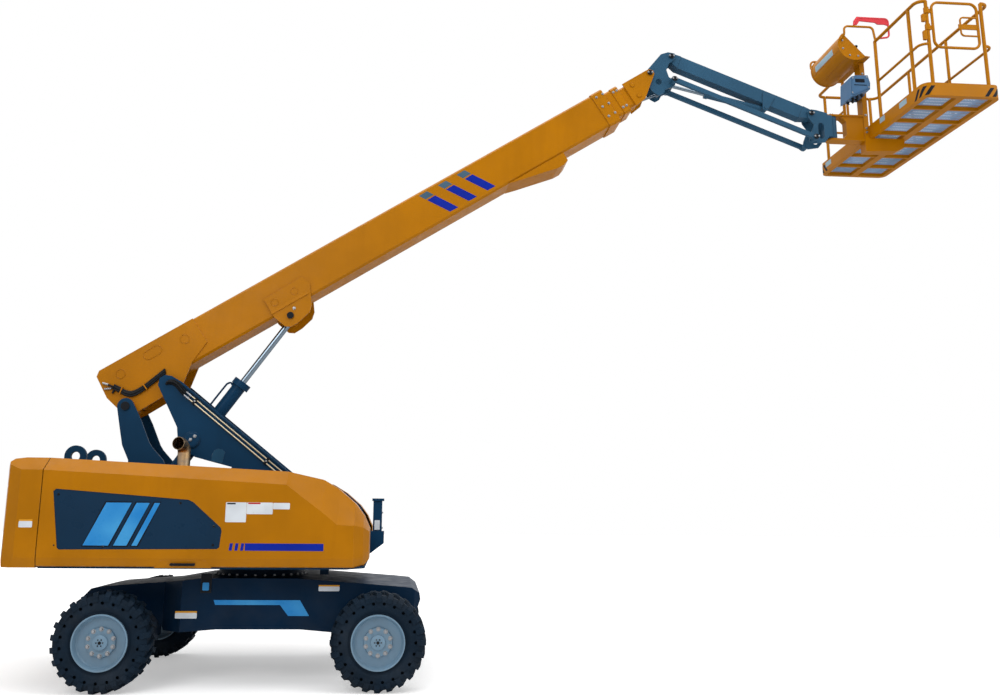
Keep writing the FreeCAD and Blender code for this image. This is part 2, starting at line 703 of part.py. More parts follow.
def hinge_rod(name, radius, sign, start, end):
    """A cylinder on the hood's hinge line, which falls with the ridge towards the front."""
    cylinder = doc.addObject("Part::Cylinder", name)
    bind(cylinder, Radius=radius, Height=f"({end}) - ({start})")
    height = f"body_top - ({start} + seam - seam_gap) * {RIDGE_FALL}"
    return place(cylinder, start, f"{sign} * well_half_width", height, (0, 1, 0), f"90deg + atan{RIDGE_FALL}")


def hinge_leaf(side, sign):
    """Middle knuckles of a hood's two hinges, with their pins, on the well wall's inner face."""
    pieces = []
    for spot, x in HINGE_SPOTS:
        y0, y1 = sorted((f"{sign} * (well_half_width - 5)", f"{sign} * well_half_width"), key=number)
        height = f"body_top - ({x} + seam - seam_gap) * {RIDGE_FALL}"
        pieces += [box(f"hinge_leaf_{spot}_{side}", f"{x} - 24", f"{x} + 24", y0, y1, f"{height} - 60", height),
                   hinge_rod(f"hinge_knuckle_{spot}_{side}", "hood_hinge_radius", sign, f"{x} - 25", f"{x} + 25"),
                   hinge_rod(f"hinge_pin_{spot}_{side}", "hood_pin_radius", sign, f"{x} - 75", f"{x} + 75")]
    return pieces


def hinged(name, side, sign, cover):
    """A hood's cover with its own hinge knuckles, bored for the pins and notched for the fixed ones."""
    knuckles, cuts = [], []
    for spot, x in HINGE_SPOTS:
        for label, start, end in (("a", f"{x} - 75", f"{x} - 25.5"), ("b", f"{x} + 25.5", f"{x} + 75")):
            knuckles.append(hinge_rod(f"hood_knuckle_{spot}_{label}_{side}", "hood_hinge_radius", sign, start, end))
        cuts.append(hinge_rod(f"hinge_notch_{spot}_{side}", "hood_hinge_radius + 1", sign, f"{x} - 25.5",
                              f"{x} + 25.5"))
        cuts.append(hinge_rod(f"hinge_bore_{spot}_{side}", "hood_pin_radius + running_gap", sign, f"{x} - 80",
                              f"{x} + 80"))
    return cut(name, fuse(f"{name}_joined", cover, *knuckles), *cuts)


def hood(side, sign):
    """Lifting engine-bay cover: a folded skin open below, behind and on its hinge side."""
    outside = hood_loft(f"hood_out_{side}", sign, "0", "0", "well_half_width", "0")
    inside = hood_loft(f"hood_in_{side}", sign, "hood_skin", "20", "well_half_width - 30", "40")
    y0, y1 = ("-body_half_width - 5", "-body_half_width + 40") if sign < 0 else ("body_half_width - 40",
                                                                               "body_half_width + 5")
    window = plate(f"hood_window_{side}", PANEL, y0, y1)
    cover = cut(f"hood_cover_{side}", outside, inside, window)
    node(f"{side}_hood", hinged(f"hood_{side}", side, sign, cover))
    seat = "(body_half_width - hood_skin)"
    y0, y1 = (f"-{seat}", f"-{seat} + 5") if sign < 0 else (f"{seat} - 5", seat)
    node(f"{side}_panel", plate(f"panel_{side}", spread(PANEL, (-1000, 1500), 18), y0, y1))


hood("right", -1)
hood("left", 1)


def well_wall(side, sign):
    """Fixed wall between an engine bay and the boom's well; the hood's hinge edge lies on it."""
    drop = "(hood_skin + 3 * face_gap)"
    points = [("-seam + seam_gap", DECK_TOP)]
    points += [(x if index < len(HOOD_STATIONS) - 1 else f"{x} - 14", f"{top} - {drop}")
               for index, (x, _, _, _, top, _) in enumerate(HOOD_STATIONS) if index < 5]
    points += [("deck_front - 20", f"1540 - {drop}"), ("deck_front - 20", DECK_TOP)]
    y0 = f"{sign} * well_half_width" if sign > 0 else "-well_half_width - wall_plate"
    y1 = "well_half_width + wall_plate" if sign > 0 else "-well_half_width"
    return plate(f"wall_{side}", points, y0, y1)


node("well_walls", fuse("walls", well_wall("right", -1), well_wall("left", 1), *hinge_leaf("right", -1),
                        *hinge_leaf("left", 1)))

node("engine", box("engine_block", "-1500", "-650", "-1060", "-640", DECK_TOP, "1700"))


def bent_tube(points, bend, radius, wall=None):
    """Solid or hollow tube along straight runs joined by equal bends."""
    corners = [FreeCAD.Vector(*(number(value) for value in point)) for point in points]
    turn = number(bend)
    edges, start = [], corners[0]
    for before, here, after in zip(corners, corners[1:], corners[2:]):
        inward = (before - here).normalize()
        onward = (after - here).normalize()
        half = inward.getAngle(onward) / 2
        setback = turn / math.tan(half)
        enter, leave = here + inward * setback, here + onward * setback
        bisector = (inward + onward).normalize()
        middle = here + bisector * (turn / math.sin(half) - turn)
        edges.append(Part.LineSegment(start, enter).toShape())
        edges.append(Part.Arc(enter, middle, leave).toShape())
        start = leave
    edges.append(Part.LineSegment(start, corners[-1]).toShape())
    path = Part.Wire(edges)
    heading = corners[1] - corners[0]

    def sweep(size):
        profile = Part.Wire(Part.makeCircle(size, corners[0], heading))
        return path.makePipeShell([profile], True, False)

    tube = sweep(number(radius))
    return tube.cut(sweep(number(radius) - number(wall))) if wall else tube


def tube_node(name, *tubes):
    """A sub-part of tubes bent in more than one plane, for which a planar sketch has no path."""
    feature = doc.addObject("Part::Feature", f"{name}_tubes")
    shape = tubes[0]
    if len(tubes) > 1:
        shape = shape.multiFuse(list(tubes[1:])).removeSplitter()
    feature.Shape = shape.Solids[0] if len(shape.Solids) == 1 else shape
    return node(name, feature)


tube_node("exhaust", bent_tube((("-780", "-well_half_width", "1780"), ("-780", "-445", "1780"),
                                ("-780", "-445", "2285"), ("-815", "-585", "2290")),
                               "90", "exhaust_radius", "exhaust_wall"))

post = fuse("post_solid",
            plate("post_bracket", [("deck_front", "1170"), ("1275", "1300"), ("1275", "1427"),
                                   ("deck_front", "1427")], "-60", "60"),
            box("post_shaft", "1155", "1250", "-45", "45", "1420", "1750"),
            box("post_cap", "1143", "1270", "-60", "60", "1742", "1768"))
node("front_post", post)

# ---------------------------------------------------------------- boom

def tube_section(half, low, high, corner):
    """Box section with folded corners."""
    quarter = [(f"{half} - ({corner})", low), (half, f"{low} + ({corner})"), (half, f"{high} - ({corner})"),
               (f"{half} - ({corner})", high)]
    return quarter + [(f"-({y})", z) for y, z in reversed(quarter)]


def boom_tube(name, x0, x1, half, low, high, wall):
    inner = tube_section(f"({half} - {wall})", f"({low} + {wall})", f"({high} - {wall})", "tube_corner - 6")
    return bar(name, tube_section(half, low, high, "tube_corner"), x0, x1, inner)


def boom_sleeve(name, x0, x1, outside, inside):
    """Short ring between two box sections, each given as half-width, bottom and top."""
    return bar(name, tube_section(*outside, "tube_corner"), x0, x1, tube_section(*inside, "tube_corner"))


BASE_IN = ("(base_half_width - base_wall - pad_gap)", "(base_bottom + base_wall + pad_gap)",
           "(base_top - base_wall - pad_gap)")
MID_OUT = ("(mid_half_width + pad_gap)", "(mid_bottom - pad_gap)", "(mid_top + pad_gap)")
MID_SKIN = ("mid_half_width", "mid_bottom", "mid_top")
MID_IN = ("(mid_half_width - mid_wall - pad_gap)", "(mid_bottom + mid_wall + pad_gap)",
          "(mid_top - mid_wall - pad_gap)")
FLY_OUT = ("(fly_half_width + pad_gap)", "(fly_bottom - pad_gap)", "(fly_top + pad_gap)")
FLY_SKIN = ("fly_half_width", "fly_bottom", "fly_top")
BASE_COLLAR = ("(base_half_width + 10)", "(base_bottom - 10)", "(base_top + 10)")
MID_COLLAR = ("(mid_half_width + 8)", "(mid_bottom - 8)", "(mid_top + 8)")

foot_outline = [("-70", "base_top"), ("1040", "base_top"), ("1050", "185"), ("810", "75"), ("600", "-95"),
                ("60", "-103"), ("-60", "-85"), ("-137", "190"), ("-122", "447")]


bracket_outline = [("1795", "285"), ("1795", "50"), ("1846", "-95"), ("1900", "-132"), ("2000", "-128"),
                   ("2150", "-92"), ("2212", "-36"), ("2320", "195"), ("2280", "297")]


def lift_bracket():
    """Cheeks and bosses under the base section, with the pin of the lift cylinder's rod."""
    inside, outside, gap = "base_half_width", "(base_half_width + bracket_plate)", "(lift_eye_half + 10)"
    where = ("lift_pin_u", "lift_pin_v")
    pieces = mirrored_pair("bracket_cheek", bracket_outline, inside, outside)
    for side, y0, y1 in (("right", f"-{outside}", f"-{gap}"), ("left", gap, outside)):
        pieces.append(rod(f"bracket_boss_{side}", "lift_pin_radius + 20", "y", y0, y1, where))
    pieces.append(rod("bracket_pin", "lift_pin_radius", "y", f"-{outside} - 12", f"{outside} + 12", where))
    return pieces


def boom_base():
    """Base section: tube, pivot cheeks and tip collar."""
    tube = boom_tube("base_tube", "-70", "base_length", "base_half_width", "base_bottom", "base_top", "base_wall")
    collar = boom_sleeve("base_collar", "base_length - collar_length", "base_length", BASE_COLLAR, MID_OUT)
    pieces = [tube, collar]
    pieces += mirrored_pair("foot", foot_outline, "base_half_width", "base_half_width + foot_plate")
    pieces.append(rod("foot_tube", "82", "y", "-base_half_width - foot_plate - 24",
                      "base_half_width + foot_plate + 24", ("0", "0")))
    pieces += lift_bracket()
    pieces.append(plate("foot_web", [("-30", "base_bottom + 4"), ("560", "base_bottom + 4"), ("560", "base_bottom - 8"),
                                     ("90", "-60"), ("60", "-40")], "-base_half_width", "base_half_width"))
    guide = [("base_length - 1560", "base_bottom + 1"), ("base_length - 1440", "32"), ("base_length - 970", "-68"),
             ("base_length - 880", "-70"), ("base_length - 812", "-46"), ("base_length - 805", "base_bottom + 1")]
    pieces.append(plate("base_guide", guide, "-base_half_width + 3", "base_half_width - 3"))
    bore = rod("foot_bore", "boom_pin_radius + running_gap", "y", "-300", "300", ("0", "0"))
    return node("boom_base", on_boom_frame(cut("boom_base_cut", fuse("boom_base_solid", *pieces), bore)))


boom_base()

MID_FRONT = "(base_length + mid_lead)"
MID_REAR = f"({MID_FRONT} - mid_length)"
mid = fuse("mid_solid",
           boom_tube("mid_tube", MID_REAR, MID_FRONT, *MID_SKIN, "mid_wall"),
           boom_sleeve("mid_collar", f"{MID_FRONT} - 90", MID_FRONT, MID_COLLAR, FLY_OUT),
           boom_sleeve("mid_shoe", MID_REAR, f"{MID_REAR} + collar_length", BASE_IN,
                       ("mid_half_width - 2", "mid_bottom + 2", "mid_top - 2")))
node("boom_mid", on_boom_frame(mid))

FLY_FRONT = "(base_length + fly_lead)"
FLY_REAR = f"({FLY_FRONT} - fly_length)"
head_outline = [("6692", "fly_top + 26"), ("tip_pin_u - 30", "tip_pin_v + 50"), ("tip_pin_u + 22", "tip_pin_v + 45"),
                ("tip_pin_u + 52", "tip_pin_v"), ("tip_pin_u + 40", "tip_pin_v - 38"), ("6835", "150"),
                ("6692", "fly_bottom - 18")]


def boom_fly():
    """Fly section: tube, rear shoe, and a forked head with the tip pin."""
    pieces = [boom_tube("fly_tube", FLY_REAR, FLY_FRONT, *FLY_SKIN, "fly_wall"),
              boom_sleeve("fly_shoe", FLY_REAR, f"{FLY_REAR} + collar_length", MID_IN,
                          ("fly_half_width - 2", "fly_bottom + 2", "fly_top - 2"))]
    pieces += mirrored_pair("head", head_outline, "fly_half_width", "fly_half_width + tip_plate")
    pin_half = "(fly_half_width + tip_plate + 8)"
    pieces.append(rod("tip_pin", "jib_pin_radius", "y", f"-{pin_half}", pin_half, ("tip_pin_u", "tip_pin_v")))
    pieces.append(rod("level_pin", "level_pin_radius", "y", "-fly_half_width", "fly_half_width",
                      ("level_base_u", "level_base_v")))
    return node("boom_fly", on_boom_frame(fuse("fly_solid", *pieces)))


boom_fly()

# ---------------------------------------------------------------- cylinders

def barrel(name, radius, wall, back, nose, rod_radius, cap, gland, *extra):
    """Cylinder barrel along +X with a closed tail, a hollow chamber and a gland at its nose."""
    body = fuse(f"{name}_solid", rod(f"{name}_tube", radius, "x", back, nose, ("0", "0")),
                rod(f"{name}_cap", f"{radius} + {cap}", "x", f"{nose} - {gland}", f"{nose} + 10", ("0", "0")), *extra)
    chamber = rod(f"{name}_chamber", f"{radius} - {wall}", "x", f"{back} + 20", f"{nose} - {gland}", ("0", "0"))
    bore = rod(f"{name}_bore", f"{rod_radius} + running_gap", "x", f"{nose} - {gland} - 10", f"{nose} + 20",
               ("0", "0"))
    return cut(name, body, chamber, bore)


def piston_rod(name, rod_radius, piston_radius, back, piston, length, eye_radius, eye_half):
    """Piston and rod along +X with an eye at the far end."""
    return fuse(name, rod(f"{name}_piston", piston_radius, "x", back, f"{back} + {piston}", ("0", "0")),
                rod(f"{name}_shaft", rod_radius, "x", back, length, ("0", "0")),
                rod(f"{name}_eye", eye_radius, "y", f"-{eye_half}", eye_half, (length, "0")))


LIFT_LENGTH = distance("trunnion_x", "trunnion_z", LIFT_X, LIFT_Z)
lift_barrel = barrel("lift_tube", "lift_barrel_radius", "lift_barrel_wall", "-lift_barrel_tail", "lift_barrel_nose",
                     "lift_rod_radius", "26", "60",
                     rod("trunnion_band", "lift_barrel_radius + 16", "x", "-75", "75", ("0", "0")),
                     rod("trunnion_boss", "trunnion_radius + 18", "y", "-trunnion_half", "trunnion_half", ("0", "0")))
node("lift_barrel", aimed(lift_barrel, "trunnion_x", "trunnion_z", LIFT_X, LIFT_Z))
lift_rod = cut("lift_rod_bored",
               piston_rod("lift_piston", "lift_rod_radius", "lift_barrel_radius - lift_barrel_wall - face_gap", "-20",
                          "50", LIFT_LENGTH, "lift_pin_radius + 20", "lift_eye_half"),
               rod("lift_eye_bore", "lift_pin_radius + running_gap", "y", "-100", "100", (LIFT_LENGTH, "0")))
node("lift_rod", aimed(lift_rod, "trunnion_x", "trunnion_z", LIFT_X, LIFT_Z))

KEY_X, KEY_Z = f"({TIP_X} + level_pin_x)", f"({TIP_Z} - level_pin_z)"
LEVEL_LENGTH = distance(LEVEL_X, LEVEL_Z, KEY_X, KEY_Z)
level_tube = barrel("level_tube", "level_barrel_radius", "6", "28", "level_barrel_length", "level_rod_radius", "7",
                    "30", rod("level_eye", "30", "y", "-26", "26", ("0", "0")),
                    box("level_neck", "0", "40", "-20", "20", "-20", "20"))
level_bore = rod("level_eye_bore", "level_pin_radius + running_gap", "y", "-60", "60", ("0", "0"))
node("level_barrel", aimed(cut("level_barrel_cut", level_tube, level_bore), LEVEL_X, LEVEL_Z, KEY_X, KEY_Z))
level_rod = piston_rod("level_piston", "level_rod_radius", "level_barrel_radius - 6 - face_gap", "215", "30",
                       LEVEL_LENGTH, "26", "24")
node("level_rod", aimed(level_rod, LEVEL_X, LEVEL_Z, KEY_X, KEY_Z))

JIB_LENGTH = distance(JIB_LUG_X, JIB_LUG_Z, ARM_X, LINK_Z)
jib_tube = barrel("jib_tube", "jib_barrel_radius", "7", "38", "jib_barrel_length", "jib_rod_radius", "8", "30",
                  rod("jib_eye", "34", "y", "-44", "44", ("0", "0")),
                  box("jib_neck", "0", "50", "-25", "25", "-25", "25"))
jib_bore = rod("jib_eye_bore", "jib_lug_pin_radius + running_gap", "y", "-60", "60", ("0", "0"))
node("jib_barrel", aimed(cut("jib_barrel_cut", jib_tube, jib_bore), JIB_LUG_X, JIB_LUG_Z, ARM_X, LINK_Z))
jib_rod = piston_rod("jib_piston", "jib_rod_radius", "jib_barrel_radius - 7 - face_gap", "242", "30", JIB_LENGTH,
                     "30", "26")
node("jib_rod", aimed(jib_rod, JIB_LUG_X, JIB_LUG_Z, ARM_X, LINK_Z))

# ---------------------------------------------------------------- jib

def jib_mount():
    """Levelled head between the fly section and the jib."""
    inside, outside = "(mount_half_width - mount_plate)", "mount_half_width"
    points = [("-48", "14"), ("-30", "42"), ("150", "262"), ("arm_pin_x - 40", "arm_pin_z + 52"),
              ("arm_pin_x + 40", "arm_pin_z + 40"), ("arm_pin_x + 52", "arm_pin_z - 20"), ("246", "146"),
              ("210", "60"), ("238", "-30"), ("arm_pin_x + 44", "arm_pin_z - link_drop + 16"),
              ("arm_pin_x + 30", "arm_pin_z - link_drop - 34"), ("190", "-190"), ("level_pin_x + 52", "-level_pin_z - 24"),
              ("level_pin_x", "-level_pin_z - 56"), ("level_pin_x - 50", "-level_pin_z - 30"),
              ("20", "-210"), ("-30", "-120")]
    cheeks = mirrored_pair("mount_cheek", points, inside, outside)
    cheeks.append(rod("mount_tube", "30", "y", f"-{inside}", inside, ("150", "185")))
    gap = "(26 + 8)"
    for side, sign in (("right", -1), ("left", 1)):
        y0, y1 = (f"-{inside}", f"-{gap}") if sign < 0 else (gap, inside)
        cheeks.append(rod(f"mount_boss_{side}", "36", "y", y0, y1, ("arm_pin_x", "arm_pin_z - link_drop")))
        cheeks.append(rod(f"mount_key_{side}", "30", "y", y0, y1, ("level_pin_x", "-level_pin_z")))
        far = "(link_centre + link_half_width + 8)"
        y0, y1 = (f"-{far}", f"-{outside}") if sign < 0 else (outside, far)
        cheeks.append(rod(f"mount_stub_{side}", "jib_pin_radius", "y", y0, y1,
                          ("arm_pin_x", "arm_pin_z - link_drop")))
        spacer = "(link_centre - link_half_width - 2)"
        y0, y1 = (f"-{spacer}", f"-{outside}") if sign < 0 else (outside, spacer)
        cheeks.append(rod(f"mount_spacer_{side}", "36", "y", y0, y1, ("arm_pin_x", "arm_pin_z - link_drop")))
    cheeks.append(rod("mount_arm_pin", "jib_pin_radius", "y", f"-{outside} - 8", f"{outside} + 8",
                      ("arm_pin_x", "arm_pin_z")))
    hole = rod("mount_hole", "38", "y", "-200", "200", ("111", "-94"))
    bore = rod("mount_bore", "jib_pin_radius + running_gap", "y", "-200", "200", ("0", "0"))
    return node("jib_mount", place(cut("mount", fuse("mount_solid", *cheeks), hole, bore), TIP_X, "0", TIP_Z))


jib_mount()


def on_arm(thing, z=ARM_Z):
    return place(thing, ARM_X, "0", z, DOWN, "arm_decline")


def jib_arm():
    """Hollow box arm with an eye at each end and lugs for its cylinder."""
    section = [("arm_half_width", "-arm_bottom"), ("arm_half_width", "arm_top"), ("-arm_half_width", "arm_top"),
               ("-arm_half_width", "-arm_bottom")]
    room = [("arm_half_width - arm_wall", "-arm_bottom + arm_wall"), ("arm_half_width - arm_wall", "arm_top - arm_wall"),
            ("-arm_half_width + arm_wall", "arm_top - arm_wall"), ("-arm_half_width + arm_wall", "-arm_bottom + arm_wall")]
    pieces = [bar("arm_tube", section, "110", "arm_length - 110", room)]
    root = [("0", "-52"), ("20", "-58"), ("112", "-arm_bottom"), ("112", "arm_top"), ("20", "58"), ("0", "52")]
    tip = [(f"arm_length - ({x})", z) for x, z in root]
    pieces += [plate("arm_root", root, "-arm_half_width - 8", "arm_half_width + 8"),
               plate("arm_tip", tip, "-arm_half_width - 8", "arm_half_width + 8"),
               rod("arm_root_eye", "52", "y", "-arm_half_width - 8", "arm_half_width + 8", ("0", "0")),
               rod("arm_tip_eye", "52", "y", "-arm_half_width - 8", "arm_half_width + 8", ("arm_length", "0"))]
    lug = [("jib_lug_x - 95", "30"), ("jib_lug_x - 30", "-jib_lug_z - 30"), ("jib_lug_x", "-jib_lug_z - 42"),
           ("jib_lug_x + 30", "-jib_lug_z - 30"), ("jib_lug_x + 62", "30")]
    pieces += mirrored_pair("arm_lug", lug, "arm_half_width", "arm_half_width + 12")
    pieces.append(rod("arm_lug_pin", "jib_lug_pin_radius", "y", "-arm_half_width - 20", "arm_half_width + 20",
                      ("jib_lug_x", "-jib_lug_z")))
    bores = [rod(f"arm_bore_{label}", "jib_pin_radius + running_gap", "y", "-100", "100", (x, "0"))
             for label, x in (("root", "0"), ("tip", "arm_length"))]
    return node("jib_arm", on_arm(cut("arm", fuse("arm_solid", *pieces), *bores)))


jib_arm()


def jib_link(side, sign):
    """Levelling link beside and below the arm."""
    centre = f"({sign} * link_centre)"
    y0, y1 = f"{centre} - link_half_width", f"{centre} + link_half_width"
    pieces = [box(f"link_bar_{side}", "0", "arm_length", y0, y1, "-link_half_height", "link_half_height"),
              rod(f"link_eye_a_{side}", "38", "y", y0, y1, ("0", "0")),
              rod(f"link_eye_b_{side}", "38", "y", y0, y1, ("arm_length", "0"))]
    bores = [rod(f"link_bore_{label}_{side}", "jib_pin_radius + running_gap", "y", f"{y0} - 1", f"{y1} + 1", (x, "0"))
             for label, x in (("a", "0"), ("b", "arm_length"))]
    return node(f"{side}_jib_link", on_arm(cut(f"link_{side}", fuse(f"link_solid_{side}", *pieces), *bores), LINK_Z))


jib_link("right", -1)
jib_link("left", 1)

ROTATOR_LOW = "(-rotator_z - rotator_height / 2)"
ROTATOR_HIGH = "(-rotator_z + rotator_height / 2)"


def platform_bracket():
    """Levelled bracket at the end of the jib, with the rotary actuator's housing."""
    inside, outside = "(mount_half_width - mount_plate)", "mount_half_width"
    points = [("-46", "20"), ("0", "50"), ("60", "44"), ("rotator_x - 85", "10"), ("rotator_x - 85", "-link_drop + 30"),
              ("150", "-link_drop - 26"), ("20", "-link_drop - 48"), ("-44", "-link_drop - 20"),
              ("-30", "-link_drop + 50"), ("26", "-150"), ("-34", "-60")]
    pieces = mirrored_pair("end_cheek", points, inside, outside)
    pieces.append(box("end_block", "rotator_x - 100", "rotator_x - 30", f"-{outside}", outside,
                      ROTATOR_LOW, ROTATOR_HIGH))
    pieces.append(rod("end_housing", "rotator_radius", "z", ROTATOR_LOW, ROTATOR_HIGH, ("rotator_x", "0")))
    for side, sign in (("right", -1), ("left", 1)):
        far = "(link_centre + link_half_width + 8)"
        y0, y1 = (f"-{far}", f"-{outside}") if sign < 0 else (outside, far)
        pieces.append(rod(f"end_stub_{side}", "jib_pin_radius", "y", y0, y1, ("0", "-link_drop")))
        spacer = "(link_centre - link_half_width - 2)"
        y0, y1 = (f"-{spacer}", f"-{outside}") if sign < 0 else (outside, spacer)
        pieces.append(rod(f"end_spacer_{side}", "36", "y", y0, y1, ("0", "-link_drop")))
    pieces.append(rod("end_pin", "jib_pin_radius", "y", f"-{outside} - 8", f"{outside} + 8", ("0", "0")))
    bore = rod("end_bore", "rotator_shaft + running_gap", "z", "-600", "200", ("rotator_x", "0"))
    slot = plate("end_slot", [("95", "-120"), ("130", "-120"), ("150", "-150"), ("150", "-290"), ("130", "-320"),
                              ("98", "-320"), ("75", "-290"), ("75", "-150")], "-200", "200")
    return node("platform_bracket", place(cut("end", fuse("end_solid", *pieces), bore, slot), END_X, "0", END_Z))


platform_bracket()

# ---------------------------------------------------------------- platform

def on_platform(thing):
    return place(thing, END_X, "0", END_Z)


def platform_support():
    """Fork round the rotary actuator and the upright that carries the basket."""
    low0, high0 = f"({ROTATOR_LOW} - 8 - fork_plate)", f"({ROTATOR_HIGH} + 8)"
    pieces = []
    for label, z0 in (("low", low0), ("high", high0)):
        z1 = f"({z0} + fork_plate)"
        pieces.append(rod(f"fork_eye_{label}", "fork_half_width", "z", z0, z1, ("rotator_x", "0")))
        pieces.append(box(f"fork_arm_{label}", "rotator_x", "post_x", "-fork_half_width", "fork_half_width", z0, z1))
    pieces.append(rod("fork_shaft", "rotator_shaft", "z", low0, f"{high0} + fork_plate", ("rotator_x", "0")))
    web = [("rotator_x + 110", f"{high0} + 2"), ("post_x", f"{high0} + 2"), ("post_x", f"{low0} + 2"),
           ("rotator_x + 110", f"{low0} + 2"), ("rotator_x + 170", f"{low0} + 80"),
           ("rotator_x + 170", f"{high0} - 60")]
    pieces.append(plate("fork_web", web, "-50", "50"))
    pieces.append(box("post_upright", "post_x", "post_x + post_depth", "-post_half_width", "post_half_width",
                      low0, "rail_height - basket_drop - 135"))
    cantilever = [("post_x", low0), ("basket_x", low0), ("basket_x", "-basket_drop"),
                  ("basket_x + basket_depth / 2 - 5", "-basket_drop"),
                  ("basket_x + basket_depth / 2 - 7", "-basket_drop - 105"),
                  ("basket_x + 327", "-basket_drop - 158"), ("post_x + 3", "-basket_drop - 173")]
    pieces.append(plate("post_cantilever", cantilever, "-post_half_width", "post_half_width"))
    return node("platform_support", on_platform(fuse("support", *pieces)))


platform_support()

FRONT_X = "(basket_x + basket_depth)"
HALF_WIDTH = "(basket_width / 2)"
FLOOR_LOW = "(-basket_drop)"
FRAME_DEPTH = "46"


def rounded_block(name, x0, x1, y0, y1, z0, z1, corner):
    """A block whose upright corners are round."""
    body = slab(name, [(x0, y0), (x1, y0), (x1, y1), (x0, y1)], z0, z1)
    doc.recompute()
    solid = body.Tip
    upright = [f"Edge{index}" for index, edge in enumerate(solid.Shape.Edges, start=1)
               if abs(edge.tangentAt(edge.FirstParameter).z) > 0.999]
    rounding = body.newObject("PartDesign::Fillet", f"{name}_fillet")
    rounding.Base = (solid, upright)
    bind(rounding, Radius=corner)
    return body


def basket_floor():
    """Toe board with round corners, frame and cross members."""
    shell = rounded_block("toe_outside", "basket_x", FRONT_X, f"-{HALF_WIDTH}", HALF_WIDTH, FLOOR_LOW,
                          f"{FLOOR_LOW} + toe_height", "basket_corner")
    room = rounded_block("toe_inside", "basket_x + toe_wall", f"{FRONT_X} - toe_wall", f"-{HALF_WIDTH} + toe_wall",
                         f"{HALF_WIDTH} - toe_wall", f"{FLOOR_LOW} - 10", f"{FLOOR_LOW} + toe_height + 10",
                         "basket_corner - toe_wall")
    pieces = [cut("toe_board", shell, room)]
    frame_out = rounded_block("frame_outside", "basket_x + 2", f"{FRONT_X} - 2", f"-{HALF_WIDTH} + 2",
                              f"{HALF_WIDTH} - 2", FLOOR_LOW, f"{FLOOR_LOW} + {FRAME_DEPTH}", "basket_corner - 2")
    frame_in = rounded_block("frame_inside", "basket_x + floor_ledge", f"{FRONT_X} - floor_ledge",
                             f"-{HALF_WIDTH} + floor_ledge", f"{HALF_WIDTH} - floor_ledge", f"{FLOOR_LOW} - 10",
                             f"{FLOOR_LOW} + 90", "basket_corner - floor_ledge")
    pieces.append(cut("floor_frame", frame_out, frame_in))
    middle = "(basket_x + basket_depth / 2)"
    pieces.append(box("floor_spine", f"{middle} - 45", f"{middle} + 45", f"-{HALF_WIDTH} + 20", f"{HALF_WIDTH} - 20",
                      FLOOR_LOW, f"{FLOOR_LOW} + {FRAME_DEPTH}"))
    for index in range(1, 7):
        y = f"({HALF_WIDTH} * {index * 2 - 7} / 7)"
        pieces.append(box(f"floor_member_{index}", "basket_x + 20", f"{FRONT_X} - 20", f"{y} - member_half",
                          f"{y} + member_half", FLOOR_LOW, f"{FLOOR_LOW} + {FRAME_DEPTH}"))
    return node("basket_floor", on_platform(fuse("floor", *pieces)))


basket_floor()


def basket_grating():
    """Walking surface: bars across the basket tied by three long bars."""
    z0 = f"({FLOOR_LOW} + {FRAME_DEPTH})"
    pieces = []
    reach = f"({HALF_WIDTH} - 90)"
    count = 34
    for index in range(count):
        y = f"({reach} * {2 * index - count + 1} / {count - 1})"
        pieces.append(box(f"grate_bar_{index}", "basket_x + 45", f"{FRONT_X} - 45", f"{y} - 3", f"{y} + 3",
                          z0, f"{z0} + 22"))
    for index in range(3):
        x = f"(basket_x + basket_depth * {index * 2 + 1} / 6)"
        pieces.append(box(f"grate_tie_{index}", f"{x} - 4", f"{x} + 4", f"-{reach} - 3", f"{reach} + 3",
                          z0, f"{z0} + 22"))
    return node("basket_grating", on_platform(fuse("grating", *pieces)))


basket_grating()

# rails: centre lines lie a toe-board inset inside the basket's outline
RAIL_IN = "(rail_radius + toe_wall + 1)"
BACK = f"({END_X} + basket_x + {RAIL_IN})"
FACE = f"({END_X} + {FRONT_X} - {RAIL_IN})"
RIGHT = f"(-{HALF_WIDTH} + {RAIL_IN})"
LEFT = f"({HALF_WIDTH} - {RAIL_IN})"
FOOT = f"({END_Z} + {FLOOR_LOW} + {FRAME_DEPTH})"
TOP = f"({END_Z} + {FLOOR_LOW} + {FRAME_DEPTH} + rail_height)"
MIDDLE = f"({END_Z} + {FLOOR_LOW} + {FRAME_DEPTH} + mid_rail_height)"
GATE_POST = f"({BACK} + 95)"
LATCH_POST = f"({FACE} - 95)"


def upright_tube(x, y, radius="rail_radius"):
    return bent_tube(((x, y, FOOT), (x, y, TOP)), "1", radius)


def rail(points, z, radius="rail_radius"):
    return bent_tube([(x, y, z) for x, y in points], "85", radius)


console_y0, console_y1 = "-300", "520"
CONSOLE_X, CONSOLE_Z = "(basket_x - 195)", "(rail_height - basket_drop + 40)"
HOOP_X, HOOP_Z = f"({END_X} + {CONSOLE_X} - 160)", f"({END_Z} + {CONSOLE_Z} + 185)"


def guard_hoop(face, y):
    """Guard tube from the console's end, over its top and down to the basket's rail."""
    level = f"({END_Z} + {CONSOLE_Z} + 60)"
    points = ((HOOP_X, face, level), (HOOP_X, y, level), (HOOP_X, y, HOOP_Z), (f"{BACK} - 24", y, HOOP_Z),
              (BACK, y, TOP))
    return bent_tube(points, "50", "guard_radius")


